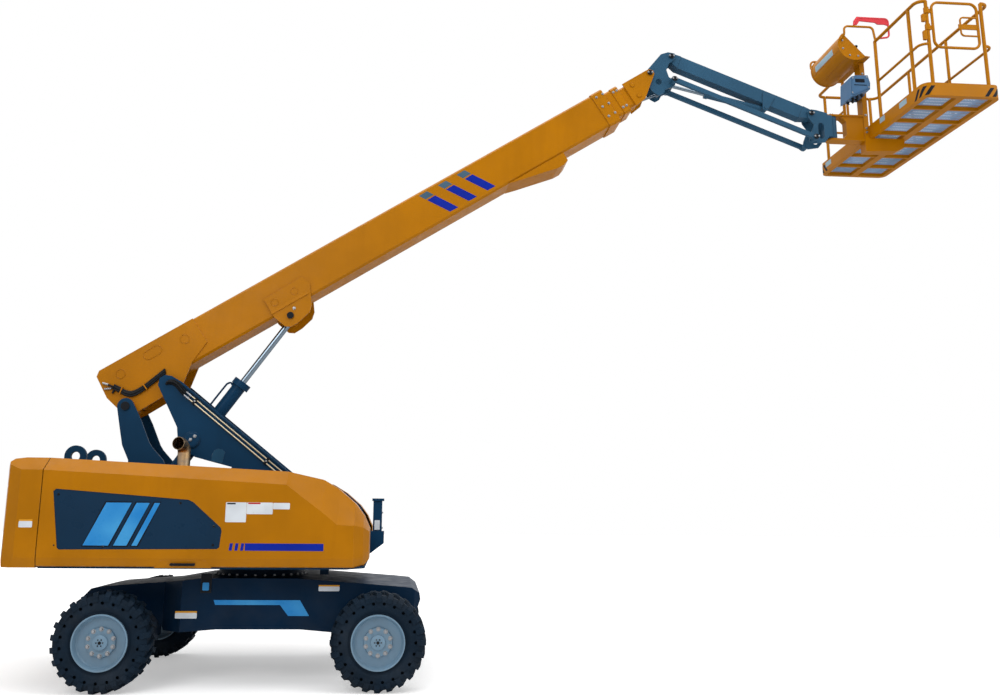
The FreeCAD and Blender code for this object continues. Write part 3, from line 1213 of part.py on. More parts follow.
back_right = ((GATE_POST, RIGHT), (BACK, RIGHT), (BACK, console_y0))
tube_node("rail_back_right", guard_hoop(f"{console_y0} + 80", f"({console_y0} - 15)"), rail(back_right, TOP), rail(back_right, MIDDLE, "rail_radius - 4"),
          upright_tube(GATE_POST, RIGHT), upright_tube(BACK, "-1010"), upright_tube(BACK, console_y0))
back_left = ((BACK, console_y1), (BACK, LEFT), (GATE_POST, LEFT))
tube_node("rail_back_left", guard_hoop(f"{console_y1} - 10", f"({console_y1} + 55)"), rail(back_left, TOP), rail(back_left, MIDDLE, "rail_radius - 4"),
          upright_tube(GATE_POST, LEFT), upright_tube(BACK, console_y1))
end_left = ((f"{GATE_POST} + rail_radius", LEFT), (f"{LATCH_POST} - rail_radius", LEFT))
tube_node("rail_end_left", rail(end_left, TOP), rail(end_left, MIDDLE, "rail_radius - 4"),
          bent_tube(((f"({GATE_POST} + {LATCH_POST}) / 2", LEFT, FOOT), (f"({GATE_POST} + {LATCH_POST}) / 2", LEFT, TOP)),
                    "1", "rail_radius - 3"))
face = ((LATCH_POST, RIGHT), (FACE, RIGHT), (FACE, LEFT), (LATCH_POST, LEFT))
tube_node("rail_face", rail(face, TOP), rail(face, MIDDLE, "rail_radius - 4"), upright_tube(LATCH_POST, RIGHT),
          upright_tube(LATCH_POST, LEFT), upright_tube(FACE, "-400", "rail_radius - 2"),
          upright_tube(FACE, "400", "rail_radius - 2"))


def gate():
    """Swinging gate: a round-cornered hoop hung on sleeves round the gate post."""
    left, right = f"({GATE_POST} + 62)", f"({LATCH_POST} - 52)"
    low, high = f"({TOP} - 545)", f"({TOP} - 8)"
    mid_x = f"(({left} + {right}) / 2)"
    hoop = [bent_tube(((mid_x, RIGHT, low), (end, RIGHT, low), (end, RIGHT, high), (mid_x, RIGHT, high)), "80",
                      "rail_radius - 4") for end in (left, right)]
    pieces = list(hoop)
    post_x, post_y = number(GATE_POST), number(RIGHT)
    for drop in (150, 350):
        base = FreeCAD.Vector(post_x, post_y, number(TOP) - drop)
        sleeve = Part.makeCylinder(number("rail_radius + 9"), 70, base)
        tab = Part.makeBox(number(left) - post_x, 10, 50, base + FreeCAD.Vector(0, -5, 10))
        pieces += [sleeve.fuse(tab).cut(Part.makeCylinder(number("rail_radius + running_gap"), 90,
                                                          base - FreeCAD.Vector(0, 0, 10)))]
    handle, upper, lower = f"({right} - 200)", f"({TOP} - 176)", f"({TOP} - 396)"
    pieces.append(bent_tube(((right, RIGHT, upper), (handle, RIGHT, upper), (handle, RIGHT, lower),
                             (right, RIGHT, lower)), "40", "rail_radius - 9"))
    corner = FreeCAD.Vector(number(handle) - 24, post_y - 6, number(TOP) - 320)
    pieces.append(Part.makeBox(number(right) - number(handle) + 20, 12, 60, corner))
    tube_node("basket_gate", *pieces)


gate()


def console():
    """Operator's console under a rolled cover, and its bracket on the basket upright."""
    x, z = CONSOLE_X, CONSOLE_Z
    y0, y1 = f"{console_y0} + 80", f"{console_y1} - 10"
    half = [(f"{x} - 149", f"{z} + 162"), (f"{x} + 149", f"{z} - 162"), (f"{x} - 13", f"{z} - 311"),
            (f"{x} - 311", f"{z} + 13")]
    face = [(f"{x} - 123", f"{z} + 114"), (f"{x} + 107", f"{z} - 137"), (f"{x} + 135", f"{z} - 112"),
            (f"{x} - 96", f"{z} + 139")]
    cover = cut("cover_solid", common("cover_half", rod("cover_roll", "console_roll", "y", y0, y1, (x, z)),
                                      plate("cover_side", half, y0, y1)),
                plate("cover_recess", face, f"{y0} + 14", f"{y1} - 14"))
    rims = [common(f"rim_half_{label}", rod(f"rim_roll_{label}", "console_roll + 7", "y", start, end, (x, z)),
                   plate(f"rim_side_{label}", half, start, end))
            for label, start, end in (("right", y0, f"{y0} + 16"), ("left", f"{y1} - 16", y1))]
    lip = plate("cover_lip", [(f"{x} + 106", f"{z} - 152"), (f"{x} + 118", f"{z} - 128"), (f"{x} + 198", f"{z} - 138"),
                              (f"{x} + 198", f"{z} - 146")], f"{y0} + 14", f"{y1} - 30")
    foot = box("cover_foot", f"{x} + 60", "post_x + post_depth", "-post_half_width", "post_half_width",
               f"{z} - 175", f"{z} - 143")
    return node("control_console", on_platform(fuse("console", cover, *rims, lip, foot)))


console()


def safety_lever():
    """Bent bar over the guard hoop, from its crown to the top rail."""
    y = f"({console_y0} - 15)"
    crown = f"({HOOP_Z} + guard_radius + 5.3)"
    points = ((f"{HOOP_X} + 130", y, crown), (f"{HOOP_X} + 180", y, f"{HOOP_Z} + 118"),
              (f"{BACK} + 176", y, f"{HOOP_Z} + 118"), (f"{BACK} + 176", y, f"{TOP} + 58"),
              (f"{BACK} + 12", y, f"{TOP} + rail_radius + 13"))
    return tube_node("safety_lever", bent_tube(points, "44", "11"))


safety_lever()


def junction_box():
    """Sloping electrical case beside the basket's upright, and the bar that carries it."""
    case = [("post_x - 282", "114"), ("post_x - 262", "374"), ("post_x - 206", "393"), ("post_x - 57", "400"),
            ("post_x - 33", "303"), ("post_x - 40", "222")]
    lid = [("post_x - 268", "140"), ("post_x - 250", "362"), ("post_x - 204", "378"), ("post_x - 68", "385"),
           ("post_x - 48", "303"), ("post_x - 54", "234")]
    carrier = box("junction_carrier", "post_x - 60", "post_x", "-130", "post_half_width", "240", "300")
    return node("junction_box", on_platform(fuse("junction", plate("junction_case", case, "-330", "-70"),
                                                 plate("junction_lid", lid, "-338", "-330"), carrier)))


junction_box()

# ---------------------------------------------------------------- export

doc.recompute()
for thing in doc.Objects:
    if {"Invalid", "Error"} & set(thing.State):
        raise RuntimeError(f"{thing.Label} failed: {thing.State}")
for name, thing in NODES.items():
    if thing.Shape.isNull() or not thing.Shape.isValid():
        raise RuntimeError(f"{name} has no valid shape")

os.makedirs("parts", exist_ok=True)
for name, thing in NODES.items():
    thing.Shape.exportStep(f"parts/{name}.step")
    extent = thing.Shape.BoundBox
    print(f"{name:22s} solids {len(thing.Shape.Solids)}  volume {thing.Shape.Volume / 1e6:9.2f} dm3  "
          f"X {extent.XMin:.0f}..{extent.XMax:.0f}  Y {extent.YMin:.0f}..{extent.YMax:.0f}  "
          f"Z {extent.ZMin:.0f}..{extent.ZMax:.0f}")
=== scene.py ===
"""Telescopic boom lift: materials, marks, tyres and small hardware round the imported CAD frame. Metres."""
import json
import math

import bmesh
import bpy
from mathutils import Matrix, Vector


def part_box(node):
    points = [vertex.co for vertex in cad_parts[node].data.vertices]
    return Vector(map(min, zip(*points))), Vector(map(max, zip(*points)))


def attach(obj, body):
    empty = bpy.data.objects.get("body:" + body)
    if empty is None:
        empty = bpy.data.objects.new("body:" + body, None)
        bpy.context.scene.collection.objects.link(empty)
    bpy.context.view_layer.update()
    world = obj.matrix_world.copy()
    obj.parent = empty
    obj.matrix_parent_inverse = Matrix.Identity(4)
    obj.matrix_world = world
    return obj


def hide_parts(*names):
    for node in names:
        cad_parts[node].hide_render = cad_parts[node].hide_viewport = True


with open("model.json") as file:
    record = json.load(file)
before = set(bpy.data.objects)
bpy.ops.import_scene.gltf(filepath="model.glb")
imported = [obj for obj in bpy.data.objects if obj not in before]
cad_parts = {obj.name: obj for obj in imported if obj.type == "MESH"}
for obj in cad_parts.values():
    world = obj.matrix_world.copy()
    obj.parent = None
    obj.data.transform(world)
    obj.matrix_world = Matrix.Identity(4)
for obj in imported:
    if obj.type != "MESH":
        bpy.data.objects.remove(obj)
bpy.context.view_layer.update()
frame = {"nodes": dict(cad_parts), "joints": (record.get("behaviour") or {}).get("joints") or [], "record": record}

scene = bpy.context.scene
JOINTS = {joint["name"]: joint for joint in frame["joints"]}
SLOT_OF = {part["node"]: part["material_slot"] for part in frame["record"]["subparts"]}
RIGHT, LEFT = -1, 1
Y_AXIS = Vector((0, 1, 0))


# ---- node trees

RANGE = ("From Min", "From Max", "To Min", "To Max")


class Nodes:
    """The node tree of a material or world, with short ways to add and join nodes."""

    def __init__(self, owner):
        owner.use_nodes = True
        self.material, self.tree = owner, owner.node_tree
        self.shader = self.tree.nodes.get("Principled BSDF")
        if self.shader:
            self.place = self.add("ShaderNodeTexCoord").outputs["Object"]

    def add(self, kind, **settings):
        node = self.tree.nodes.new(kind)
        for key, value in settings.items():
            setattr(node, key, value)
        return node

    def join(self, source, target):
        if isinstance(source, (int, float, tuple)):
            target.default_value = source
        else:
            self.tree.links.new(source, target)

    def noise(self, scale, detail=3.0, stretch=None):
        where = self.place
        if stretch:
            mapping = self.add("ShaderNodeMapping")
            mapping.inputs["Scale"].default_value = stretch
            self.join(where, mapping.inputs["Vector"])
            where = mapping.outputs["Vector"]
        texture = self.add("ShaderNodeTexNoise")
        texture.inputs["Scale"].default_value = scale
        texture.inputs["Detail"].default_value = detail
        self.join(where, texture.inputs["Vector"])
        return texture.outputs["Fac"]

    def look(self, **sockets):
        """Set or feed the shader's sockets, named with _ for a space."""
        for name, source in sockets.items():
            self.join(source, self.shader.inputs[name.replace("_", " ")])

    def ramp(self, value, low, high, to_low=0.0, to_high=1.0):
        node = self.add("ShaderNodeMapRange")
        for socket, number in zip(RANGE, (low, high, to_low, to_high)):
            node.inputs[socket].default_value = number
        self.join(value, node.inputs["Value"])
        return node.outputs[0]

    def math(self, operation, a, b):
        node = self.add("ShaderNodeMath", operation=operation)
        self.join(a, node.inputs[0])
        self.join(b, node.inputs[1])
        return node.outputs[0]

    def mix(self, factor, a, b):
        node = self.add("ShaderNodeMix", data_type="RGBA")
        self.join(factor, node.inputs[0])
        self.join(a, node.inputs[6])
        self.join(b, node.inputs[7])
        return node.outputs[2]

    def edges(self, radius):
        """A soft normal over edges, and how near each point is to one."""
        bevel = self.add("ShaderNodeBevel", samples=4)
        bevel.inputs["Radius"].default_value = radius
        plain = self.add("ShaderNodeNewGeometry").outputs["Normal"]
        near = self.add("ShaderNodeVectorMath", operation="DOT_PRODUCT")
        self.join(bevel.outputs["Normal"], near.inputs[0])
        self.join(plain, near.inputs[1])
        return bevel.outputs["Normal"], self.ramp(near.outputs["Value"], 0.98, 0.8)

    def bump(self, height, strength, distance, normal=None):
        node = self.add("ShaderNodeBump")
        node.inputs["Strength"].default_value = strength
        node.inputs["Distance"].default_value = distance
        self.join(height, node.inputs["Height"])
        if normal:
            self.join(normal, node.inputs["Normal"])
        self.look(Normal=node.outputs["Normal"])


def new_paint(name):
    return Nodes(bpy.data.materials.new(name))


# ---- camera, light and stage

EYE = (1.33, -10.04, 1.623)
CAMERA_TURN = (math.radians(3.97), math.radians(11.013), 0.009)        # yaw, pitch and roll
LENS, SENSOR, SHIFT = 32.936, 36, (0.0441, -0.0126)
WORLD_LIGHT = 0.36
FLOOR_GLOW = (3.0, 16.0, 0.4, 1.0)        # from and to these distances, from and to these strengths
LAMPS = (("overhead", (2, -2, 13.5), (2, -1, 2), 18, 12, 1400),
         ("key", (-4, -12, 9), (1.5, 0, 2.5), 7, 6, 580), ("front", (13, -7, 7), (2.5, 0, 3), 7, 6, 400))


def photo_camera():
    """The photograph's viewpoint, turned a little towards +X and tilted up from eye height."""
    yaw, pitch, roll = CAMERA_TURN
    forward = Vector((math.sin(yaw) * math.cos(pitch), math.cos(yaw) * math.cos(pitch), math.sin(pitch)))
    level = Vector((math.cos(yaw), -math.sin(yaw), 0))
    upright = level.cross(forward)
    right = level * math.cos(roll) + upright * math.sin(roll)
    up = upright * math.cos(roll) - level * math.sin(roll)
    data = bpy.data.cameras.new("photo_camera")
    data.lens, data.sensor_width = LENS, SENSOR
    data.shift_x, data.shift_y = SHIFT
    data.clip_end = 200
    camera = bpy.data.objects.new("photo_camera", data)
    turn = Matrix((right, up, -forward)).transposed().to_4x4()
    camera.matrix_world = Matrix.Translation(EYE) @ turn
    scene.collection.objects.link(camera)
    scene.camera = camera


def area_light(name, place, target, width, depth, power):
    data = bpy.data.lights.new(name, "AREA")
    data.shape = "RECTANGLE"
    data.size, data.size_y, data.energy = width, depth, power
    light = bpy.data.objects.new(name, data)
    light.location = place
    light.rotation_euler = (Vector(target) - Vector(place)).to_track_quat("-Z", "Y").to_euler()
    scene.collection.objects.link(light)


def surroundings():
    """White world for the camera and in reflections, a softer one for light, and a pale floor."""
    scene.world = bpy.data.worlds.new("studio")
    n = Nodes(scene.world)
    path, sky = n.add("ShaderNodeLightPath").outputs, n.tree.nodes["Background"].inputs
    mirrored = n.math("MAXIMUM", path["Is Glossy Ray"], path["Is Transmission Ray"])
    seen = n.math("MAXIMUM", path["Is Camera Ray"], mirrored)
    n.join(n.ramp(seen, 0.0, 1.0, WORLD_LIGHT, 1.0), sky["Strength"])
    n.join((1, 1, 1, 1), sky["Color"])

    bm = bmesh.new()
    bmesh.ops.create_grid(bm, x_segments=2, y_segments=2, size=60)
    mesh = bpy.data.meshes.new("floor")
    bm.to_mesh(mesh)
    bm.free()
    floor = bpy.data.objects.new("floor", mesh)
    scene.collection.objects.link(floor)
    n = new_paint("floor_paint")
    reach = n.add("ShaderNodeVectorMath", operation="LENGTH")
    n.join(n.place, reach.inputs[0])
    seen = n.add("ShaderNodeLightPath").outputs["Is Camera Ray"]
    n.look(Base_Color=(0.9, 0.9, 0.9, 1), Roughness=0.9, Specular_IOR_Level=0.1, Emission_Color=(1, 1, 1, 1),
           Emission_Strength=n.math("MULTIPLY", n.ramp(reach.outputs["Value"], *FLOOR_GLOW), seen))
    mesh.materials.append(n.material)
    for lamp in LAMPS:
        area_light(*lamp)


photo_camera()
surroundings()
scene.view_settings.view_transform = "Standard"


# ---- materials

MATT = 0.12        # specular level of rubber and film


def linear(colour):
    """Scene-linear RGBA of an sRGB colour given as 0-255."""
    def channel(value):
        value /= 255
        return value / 12.92 if value <= 0.04045 else ((value + 0.055) / 1.055) ** 2.4
    return (*[channel(value) for value in colour], 1)


def shade(colour, factor):
    return (*[min(1, channel * factor) for channel in colour[:3]], 1)


def painted(name, colour, rough=0.36, wear=0.35, dust=0.25, patches=0.07, edge=0.004, coat=0.02, gloss=0.09):
    """Sprayed steel: cloudy tone, fine orange peel, paler rubbed edges and dust low down."""
    base = linear(colour)
    n = new_paint(name)
    cloud = n.ramp(n.noise(1.7, 4), 0.35, 0.65)
    tone = n.mix(cloud, shade(base, 1 - patches), shade(base, 1 + patches))
    streak = n.ramp(n.noise(3, 5, (3, 3, 0.35)), 0.52, 0.72, 0, 0.22)
    tone = n.mix(streak, tone, shade(base, 0.78))
    normal, near = n.edges(edge)
    rub = n.math("MULTIPLY", near, n.ramp(n.noise(24, 4), 0.42, 0.62, 0, wear))
    tone = n.mix(rub, tone, n.mix(0.55, shade(base, 1.25), linear((205, 200, 190))))
    height = n.add("ShaderNodeSeparateXYZ")
    n.join(n.place, height.inputs[0])
    low = n.ramp(height.outputs["Z"], 1.3, 0.15, 0, dust)
    low = n.math("MULTIPLY", low, n.ramp(n.noise(5, 6), 0.35, 0.7))
    tone = n.mix(low, tone, linear((120, 112, 98)))
    n.look(Base_Color=tone, Roughness=n.ramp(n.noise(9, 5), 0.3, 0.7, rough - 0.05, rough + 0.1),
           Specular_IOR_Level=gloss, Coat_Weight=coat, Coat_Roughness=0.18)
    n.bump(n.noise(420, 2), 0.12, 0.0006, normal)
    return n.material


def metal(name, colour, rough, scratches=(1, 1, 1), patches=0.12, edge=0.002):
    """Bare or plated steel with fine directional marks."""
    base = linear(colour)
    n = new_paint(name)
    tone = n.mix(n.ramp(n.noise(14, 5), 0.3, 0.7), shade(base, 1 - patches), shade(base, 1 + patches / 2))
    fine = n.noise(160, 4, scratches)
    n.look(Base_Color=tone, Metallic=1.0, Roughness=n.ramp(fine, 0.3, 0.7, rough - 0.06, rough + 0.1))
    n.bump(fine, 0.15, 0.0005, n.edges(edge)[0])
    return n.material


def rubber(name, colour, rough=0.72, grain=90, dust=0.3):
    """Matt rubber or plastic with a fine grain and pale dust in patches."""
    base = linear(colour)
    n = new_paint(name)
    tone = n.mix(n.ramp(n.noise(6, 5), 0.35, 0.7), shade(base, 0.8), shade(base, 1.25))
    tone = n.mix(n.ramp(n.noise(2.2, 6), 0.5, 0.78, 0, dust), tone, linear((96, 98, 100)))
    n.look(Base_Color=tone, Specular_IOR_Level=MATT,
           Roughness=n.ramp(n.noise(30, 3), 0.3, 0.7, rough - 0.08, rough + 0.08))
    n.bump(n.noise(grain, 4), 0.35, 0.0012, n.edges(0.002)[0])
    return n.material


def film(name, colour, rough=0.3, second=None):
    """Printed film: even, a little scuffed, clouded towards a second colour where one is given."""
    base = linear(colour)
    n = new_paint(name)
    other = linear(second) if second else shade(base, 0.86)
    tone = n.mix(n.ramp(n.noise(2.4 if second else 4, 2), 0.38, 0.66), base, other)
    scuff = n.ramp(n.noise(45, 6), 0.62, 0.8, 0, 0.3)
    tone = n.mix(scuff, tone, shade(base, 0.55))
    n.look(Base_Color=tone, Specular_IOR_Level=MATT,
           Roughness=n.ramp(n.noise(20, 3), 0.3, 0.7, rough - 0.05, rough + 0.15))
    n.bump(n.noise(300, 2), 0.08, 0.0004)
    return n.material


def tarnished(name):
    """Heated stainless pipe: brown and blue bands over brushed steel."""
    n = new_paint(name)
    heat = n.ramp(n.noise(7, 5, (1, 1, 2.5)), 0.36, 0.66)
    tone = n.mix(heat, linear((150, 138, 122)), linear((176, 146, 106)))
    tone = n.mix(n.ramp(n.noise(12, 4), 0.55, 0.75, 0, 0.6), tone, linear((88, 96, 112)))
    n.look(Base_Color=tone, Metallic=1.0, Roughness=n.ramp(n.noise(40, 4), 0.3, 0.7, 0.26, 0.5))
    n.bump(n.noise(120, 4), 0.2, 0.0008)
    return n.material


ORANGE = (171, 108, 0)
NAVY = (11, 52, 82)
DEEP_NAVY = (3, 32, 56)
JIB_NAVY = (44, 82, 108)
FINISH = {
    "body_orange": painted("orange_paint", ORANGE, 0.34),
    "navy": painted("navy_paint", NAVY, 0.42, 0.3, 0.1, 0.1, gloss=0.07),
    "grey_box": painted("blue_grey_paint", (70, 104, 138), 0.4, 0.3, 0),
    "ballast": painted("ballast_paint", ORANGE, 0.38, 0.35, 0.25, 0.09),
    "tyre": rubber("tyre_rubber", (12, 28, 42), dust=0.14),
    "rim": painted("rim_silver", (108, 139, 162), 0.34, 0.5, 0.2, 0.08, 0.003, 0.1, 0.3),
    "chrome": metal("rod_chrome", (118, 132, 144), 0.16, (1, 1, 1), 0.05),
    "steel": metal("zinc_steel", (150, 152, 155), 0.36),
    "lever_red": painted("red_paint", (205, 62, 70), 0.4, 0.5, 0),
    "engine": metal("cast_aluminium", (120, 122, 124), 0.5, patches=0.25),
    "galvanised": painted("galvanised_steel", (142, 166, 196), 0.5, 0.4, 0, 0.2, 0.001),
}
SPECIAL = {
    "exhaust": tarnished("tarnished_pipe"),
    "right_panel": painted("panel_navy", (2, 40, 66), 0.3, 0.1, 0, 0.05, 0.003, 0.15),
    "chassis_frame": painted("chassis_navy", DEEP_NAVY, 0.4, 0.3, 0.06, 0.12, gloss=0.05),
    "jib_arm": painted("jib_navy", JIB_NAVY, 0.36, 0.4, 0, 0.08),
}
SPECIAL["left_panel"] = SPECIAL["right_panel"]
for name in ("front_axle", "rear_axle", "rear_right_knuckle", "rear_left_knuckle"):
    SPECIAL[name] = SPECIAL["chassis_frame"]
for name in ("right_jib_link", "left_jib_link", "platform_bracket", "jib_barrel", "jib_mount"):
    SPECIAL[name] = SPECIAL["jib_arm"]
BODY_PAINT, STEEL = FINISH["body_orange"], FINISH["steel"]
BLACK_RUBBER = rubber("black_rubber", (16, 19, 23), 0.6, 140, 0.12)
BLACK_PAINT = painted("black_paint", (18, 22, 28), 0.5, 0.5, 0.1)
WHITE_FILM = film("plate_white", (214, 220, 226))
RED_FILM = film("plate_red", (176, 38, 44))
AMBER_FILM = film("plate_amber", (214, 150, 40))
BLUE_FILM = film("stripe_blue", (6, 36, 152))
SKY_FILM = film("stripe_sky_blue", (36, 126, 196), 0.28, (64, 150, 208))
PALE_FILM = film("stripe_pale", (150, 176, 190))
DARK_FILM = film("stripe_dark", (8, 14, 24))
STONE_FILM = film("stripe_slate", (70, 96, 116))

for name, thing in frame["nodes"].items():
    thing.data.materials.clear()
    thing.data.materials.append(SPECIAL.get(name) or FINISH[SLOT_OF[name]])


# ---- mesh helpers

IDENTITY = Matrix.Identity(4)


def turns(count, offset=0.0):
    """Angles that share a full turn out evenly."""
    return [2 * math.pi * (step + offset) / count for step in range(count)]


def frame_at(origin, along, across=Y_AXIS):
    """A frame whose X runs along a direction and whose Y is across it."""
    x = Vector(along).normalized()
    y = Vector(across).normalized()
    z = x.cross(y)
    turn = Matrix((x, y, z)).transposed().to_4x4()
    return Matrix.Translation(Vector(origin)) @ turn


def add_piece(name, bm, paint, body, smooth=35):
    """Turn a bmesh into a piece that rides on a body, smooth up to an angle or flat at 0."""
    bmesh.ops.recalc_face_normals(bm, faces=bm.faces)
    mesh = bpy.data.meshes.new(name)
    bm.to_mesh(mesh)
    bm.free()
    piece = bpy.data.objects.new(name, mesh)
    scene.collection.objects.link(piece)
    mesh.materials.append(paint)
    for face in mesh.polygons:
        face.use_smooth = smooth > 0
    if smooth:
        mesh.set_sharp_from_angle(angle=math.radians(smooth))
    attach(piece, body)
    return piece


def rings(bm, sections, looped=False):
    """Skin a list of equal vertex loops, joined to a ring or closed at both ends."""
    loops = [[bm.verts.new(point) for point in section] for section in sections]
    count = len(loops[0])
    for first, second in zip(loops, loops[1:] + loops[:1] if looped else loops[1:]):
        for index in range(count):
            onward = (index + 1) % count
            bm.faces.new((first[index], first[onward], second[onward], second[index]))
    if not looped:
        bm.faces.new(loops[0][::-1])
        bm.faces.new(loops[-1])


def prism(bm, place, outline, y0, y1):
    """Extrude an XZ outline in a frame between two Y values."""
    rings(bm, [[place @ Vector((x, y, z)) for x, z in outline] for y in (y0, y1)])


def panel(x0, x1, z0, z1, corner=0.006):
    """A rectangle with its corners cut."""
    return [(x0 + corner, z0), (x1 - corner, z0), (x1, z0 + corner), (x1, z1 - corner),
            (x1 - corner, z1), (x0 + corner, z1), (x0, z1 - corner), (x0, z0 + corner)]


def block(bm, place, x0, x1, y0, y1, z0, z1, chamfer=0.0):
    """A block, with its XZ corners cut off by a chamfer."""
    plain = [(x0, z0), (x1, z0), (x1, z1), (x0, z1)]
    prism(bm, place, panel(x0, x1, z0, z1, chamfer) if chamfer else plain, y0, y1)


def lathe(bm, place, profile, steps=24):
    """Revolve (distance, radius) points about a frame's Y axis; a closed profile makes a ring."""
    ring = profile[0] == profile[-1]
    points = profile[:-1] if ring else profile
    sections = []
    for turn in turns(steps):
        sections.append([place @ Vector((r * math.sin(turn), y, r * math.cos(turn))) for y, r in points])
    if ring:
        rings(bm, sections, looped=True)
        return
    loops = [[bm.verts.new(point) for point in section[1:-1]] for section in sections]
    ends = [bm.verts.new(place @ Vector((0, points[last][0], 0))) for last in (0, -1)]
    for index in range(steps):
        here, onward = loops[index], loops[(index + 1) % steps]
        bm.faces.new((ends[0], onward[0], here[0]))
        bm.faces.new((ends[1], here[-1], onward[-1]))
        for low in range(len(here) - 1):
            bm.faces.new((here[low], onward[low], onward[low + 1], here[low + 1]))


def pin_frame(point, axis=Y_AXIS):
    """A frame whose Y axis is a pin's axis."""
    y = Vector(axis).normalized()
    x = Vector((0, 0, 1)).cross(y)
    x = x.normalized() if x.length > 0.01 else Vector((1, 0, 0))
    return Matrix.Translation(Vector(point)) @ Matrix((x, y, x.cross(y))).transposed().to_4x4()


def disc(bm, point, axis, radius, height, steps=20, chamfer=0.15):
    """A round boss or washer standing on a point."""
    c = height * chamfer
    profile = [(0, 0), (0, radius), (height - c, radius), (height, radius - c), (height, 0)]
    lathe(bm, pin_frame(point, axis), profile, steps)


WASHER_REACH, WASHER_HEIGHT, HEX_REACH = 0.82, 0.14, 0.577        # shares of a bolt's width across


def bolt(bm, point, axis, size, head=0.65):
    """A washer and a hexagon head of a given width across."""
    disc(bm, point, axis, size * WASHER_REACH, size * WASHER_HEIGHT, 16)
    h0, h1, reach = size * WASHER_HEIGHT, size * (WASHER_HEIGHT + head), size * HEX_REACH
    profile = [(h0, 0), (h0, reach), (h1 - size * 0.08, reach), (h1, size * 0.5), (h1, 0)]
    lathe(bm, pin_frame(point, axis), profile, 6)


def bolts(name, body, spots, axis, size):
    bm = bmesh.new()
    for spot in spots:
        bolt(bm, spot, axis, size)
    return add_piece(name, bm, STEEL, body, 30)


def smooth_path(points, per=6):
    """Catmull-Rom points through the given ones."""
    given = [Vector(p) for p in points]
    padded = [given[0] * 2 - given[1]] + given + [given[-1] * 2 - given[-2]]
    path = []
    for index in range(1, len(padded) - 2):
        a, b, c, d = padded[index - 1:index + 3]
        for step in range(per):
            t = step / per
            path.append(0.5 * ((2 * b) + (c - a) * t + (2 * a - 5 * b + 4 * c - d) * t ** 2
                               + (3 * b - a - 3 * c + d) * t ** 3))
    path.append(given[-1])
    return path


def tube(bm, path, radius, sides=10):
    """A round tube along a path, without twist."""
    heading = (path[1] - path[0]).normalized()
    side = heading.orthogonal().normalized()
    sections = []
    for index, point in enumerate(path):
        ahead = path[min(index + 1, len(path) - 1)] - path[max(index - 1, 0)]
        side = (side - ahead.normalized() * side.dot(ahead.normalized())).normalized()
        up = ahead.normalized().cross(side)
        sections.append([point + (side * math.cos(a) + up * math.sin(a)) * radius
                         for a in turns(sides)])
    rings(bm, sections)


def joint_place(name):
    return Vector(JOINTS[name]["pos_m"])


PIVOT = joint_place("boom_lift")
BOOM = frame_at(PIVOT, JOINTS["mid_extend"]["axis"])


# ---- wheels

WHEELS = ("front_right", "front_left", "rear_right", "rear_left")
HOLES, HOLE_SPOT, HOLE_RADIUS, HOLE_DEPTH = 22, 0.348, 0.0155, 0.045
WALL_Y, WALL_LOW, WALL_HIGH = 0.172, 0.31, 0.372
LUGS = 24
# Y, top radius, half-width, sweep round the tread, and foot radius
LUG_STATIONS = ((0.1795, 0.403, 0.024, 0, 0.36), (0.138, 0.4445, 0.026, 0, 0.385),
                (0.06, 0.4445, 0.022, 0.018, 0.4), (-0.012, 0.4445, 0.018, 0.045, 0.4))


def round_point(turn, y, radius):
    return Vector((radius * math.sin(turn), y, radius * math.cos(turn)))


def tyre_walls(bm):
    """Carcass between its two plain shoulders, open at the outer wall's flat."""
    outer = [(WALL_Y, WALL_HIGH), (0.166, 0.385), (0.15, 0.417)]
    inner = [(-0.15, 0.417), (-0.166, 0.385), (-WALL_Y, WALL_HIGH), (-WALL_Y, WALL_LOW), (-0.168, 0.292),
             (-0.15, 0.268), (-0.15, 0.2505)]
    strip = outer + inner + [(0.15, 0.2505), (0.15, 0.268), (0.168, 0.292), (WALL_Y, WALL_LOW)]
    steps = 3 * HOLES
    rows = [[bm.verts.new(round_point(turn, y, r)) for y, r in strip] for turn in turns(steps)]
    for step in range(steps):
        here, onward = rows[step], rows[(step + 1) % steps]
        for index in range(len(strip) - 1):
            bm.faces.new((here[index], onward[index], onward[index + 1], here[index + 1]))


def tyre_hole(bm, middle):
    """One sector of the outer wall's flat, with a blind round hole in it."""
    half = math.pi / HOLES
    third = (WALL_HIGH - WALL_LOW) / 3
    border = [(-half, WALL_LOW), (-half / 3, WALL_LOW), (half / 3, WALL_LOW), (half, WALL_LOW),
              (half, WALL_LOW + third), (half, WALL_HIGH - third), (half, WALL_HIGH),
              (half / 3, WALL_HIGH), (-half / 3, WALL_HIGH), (-half, WALL_HIGH),
              (-half, WALL_HIGH - third), (-half, WALL_LOW + third)]
    edge, mouth, bottom = [], [], []
    for index, (turn, radius) in enumerate(border):
        around = math.radians(225 + 30 * index)
        aside, up = HOLE_RADIUS * math.cos(around) / HOLE_SPOT, HOLE_RADIUS * math.sin(around)
        edge.append(bm.verts.new(round_point(middle + turn, WALL_Y, radius)))
        mouth.append(bm.verts.new(round_point(middle + aside, WALL_Y, HOLE_SPOT + up)))
        bottom.append(bm.verts.new(round_point(middle + aside, WALL_Y - HOLE_DEPTH, HOLE_SPOT + up)))
    for near, far in ((edge, mouth), (mouth, bottom)):
        for index in range(len(border)):
            onward = (index + 1) % len(border)
            bm.faces.new((near[index], near[onward], far[onward], far[index]))
    bm.faces.new(bottom)


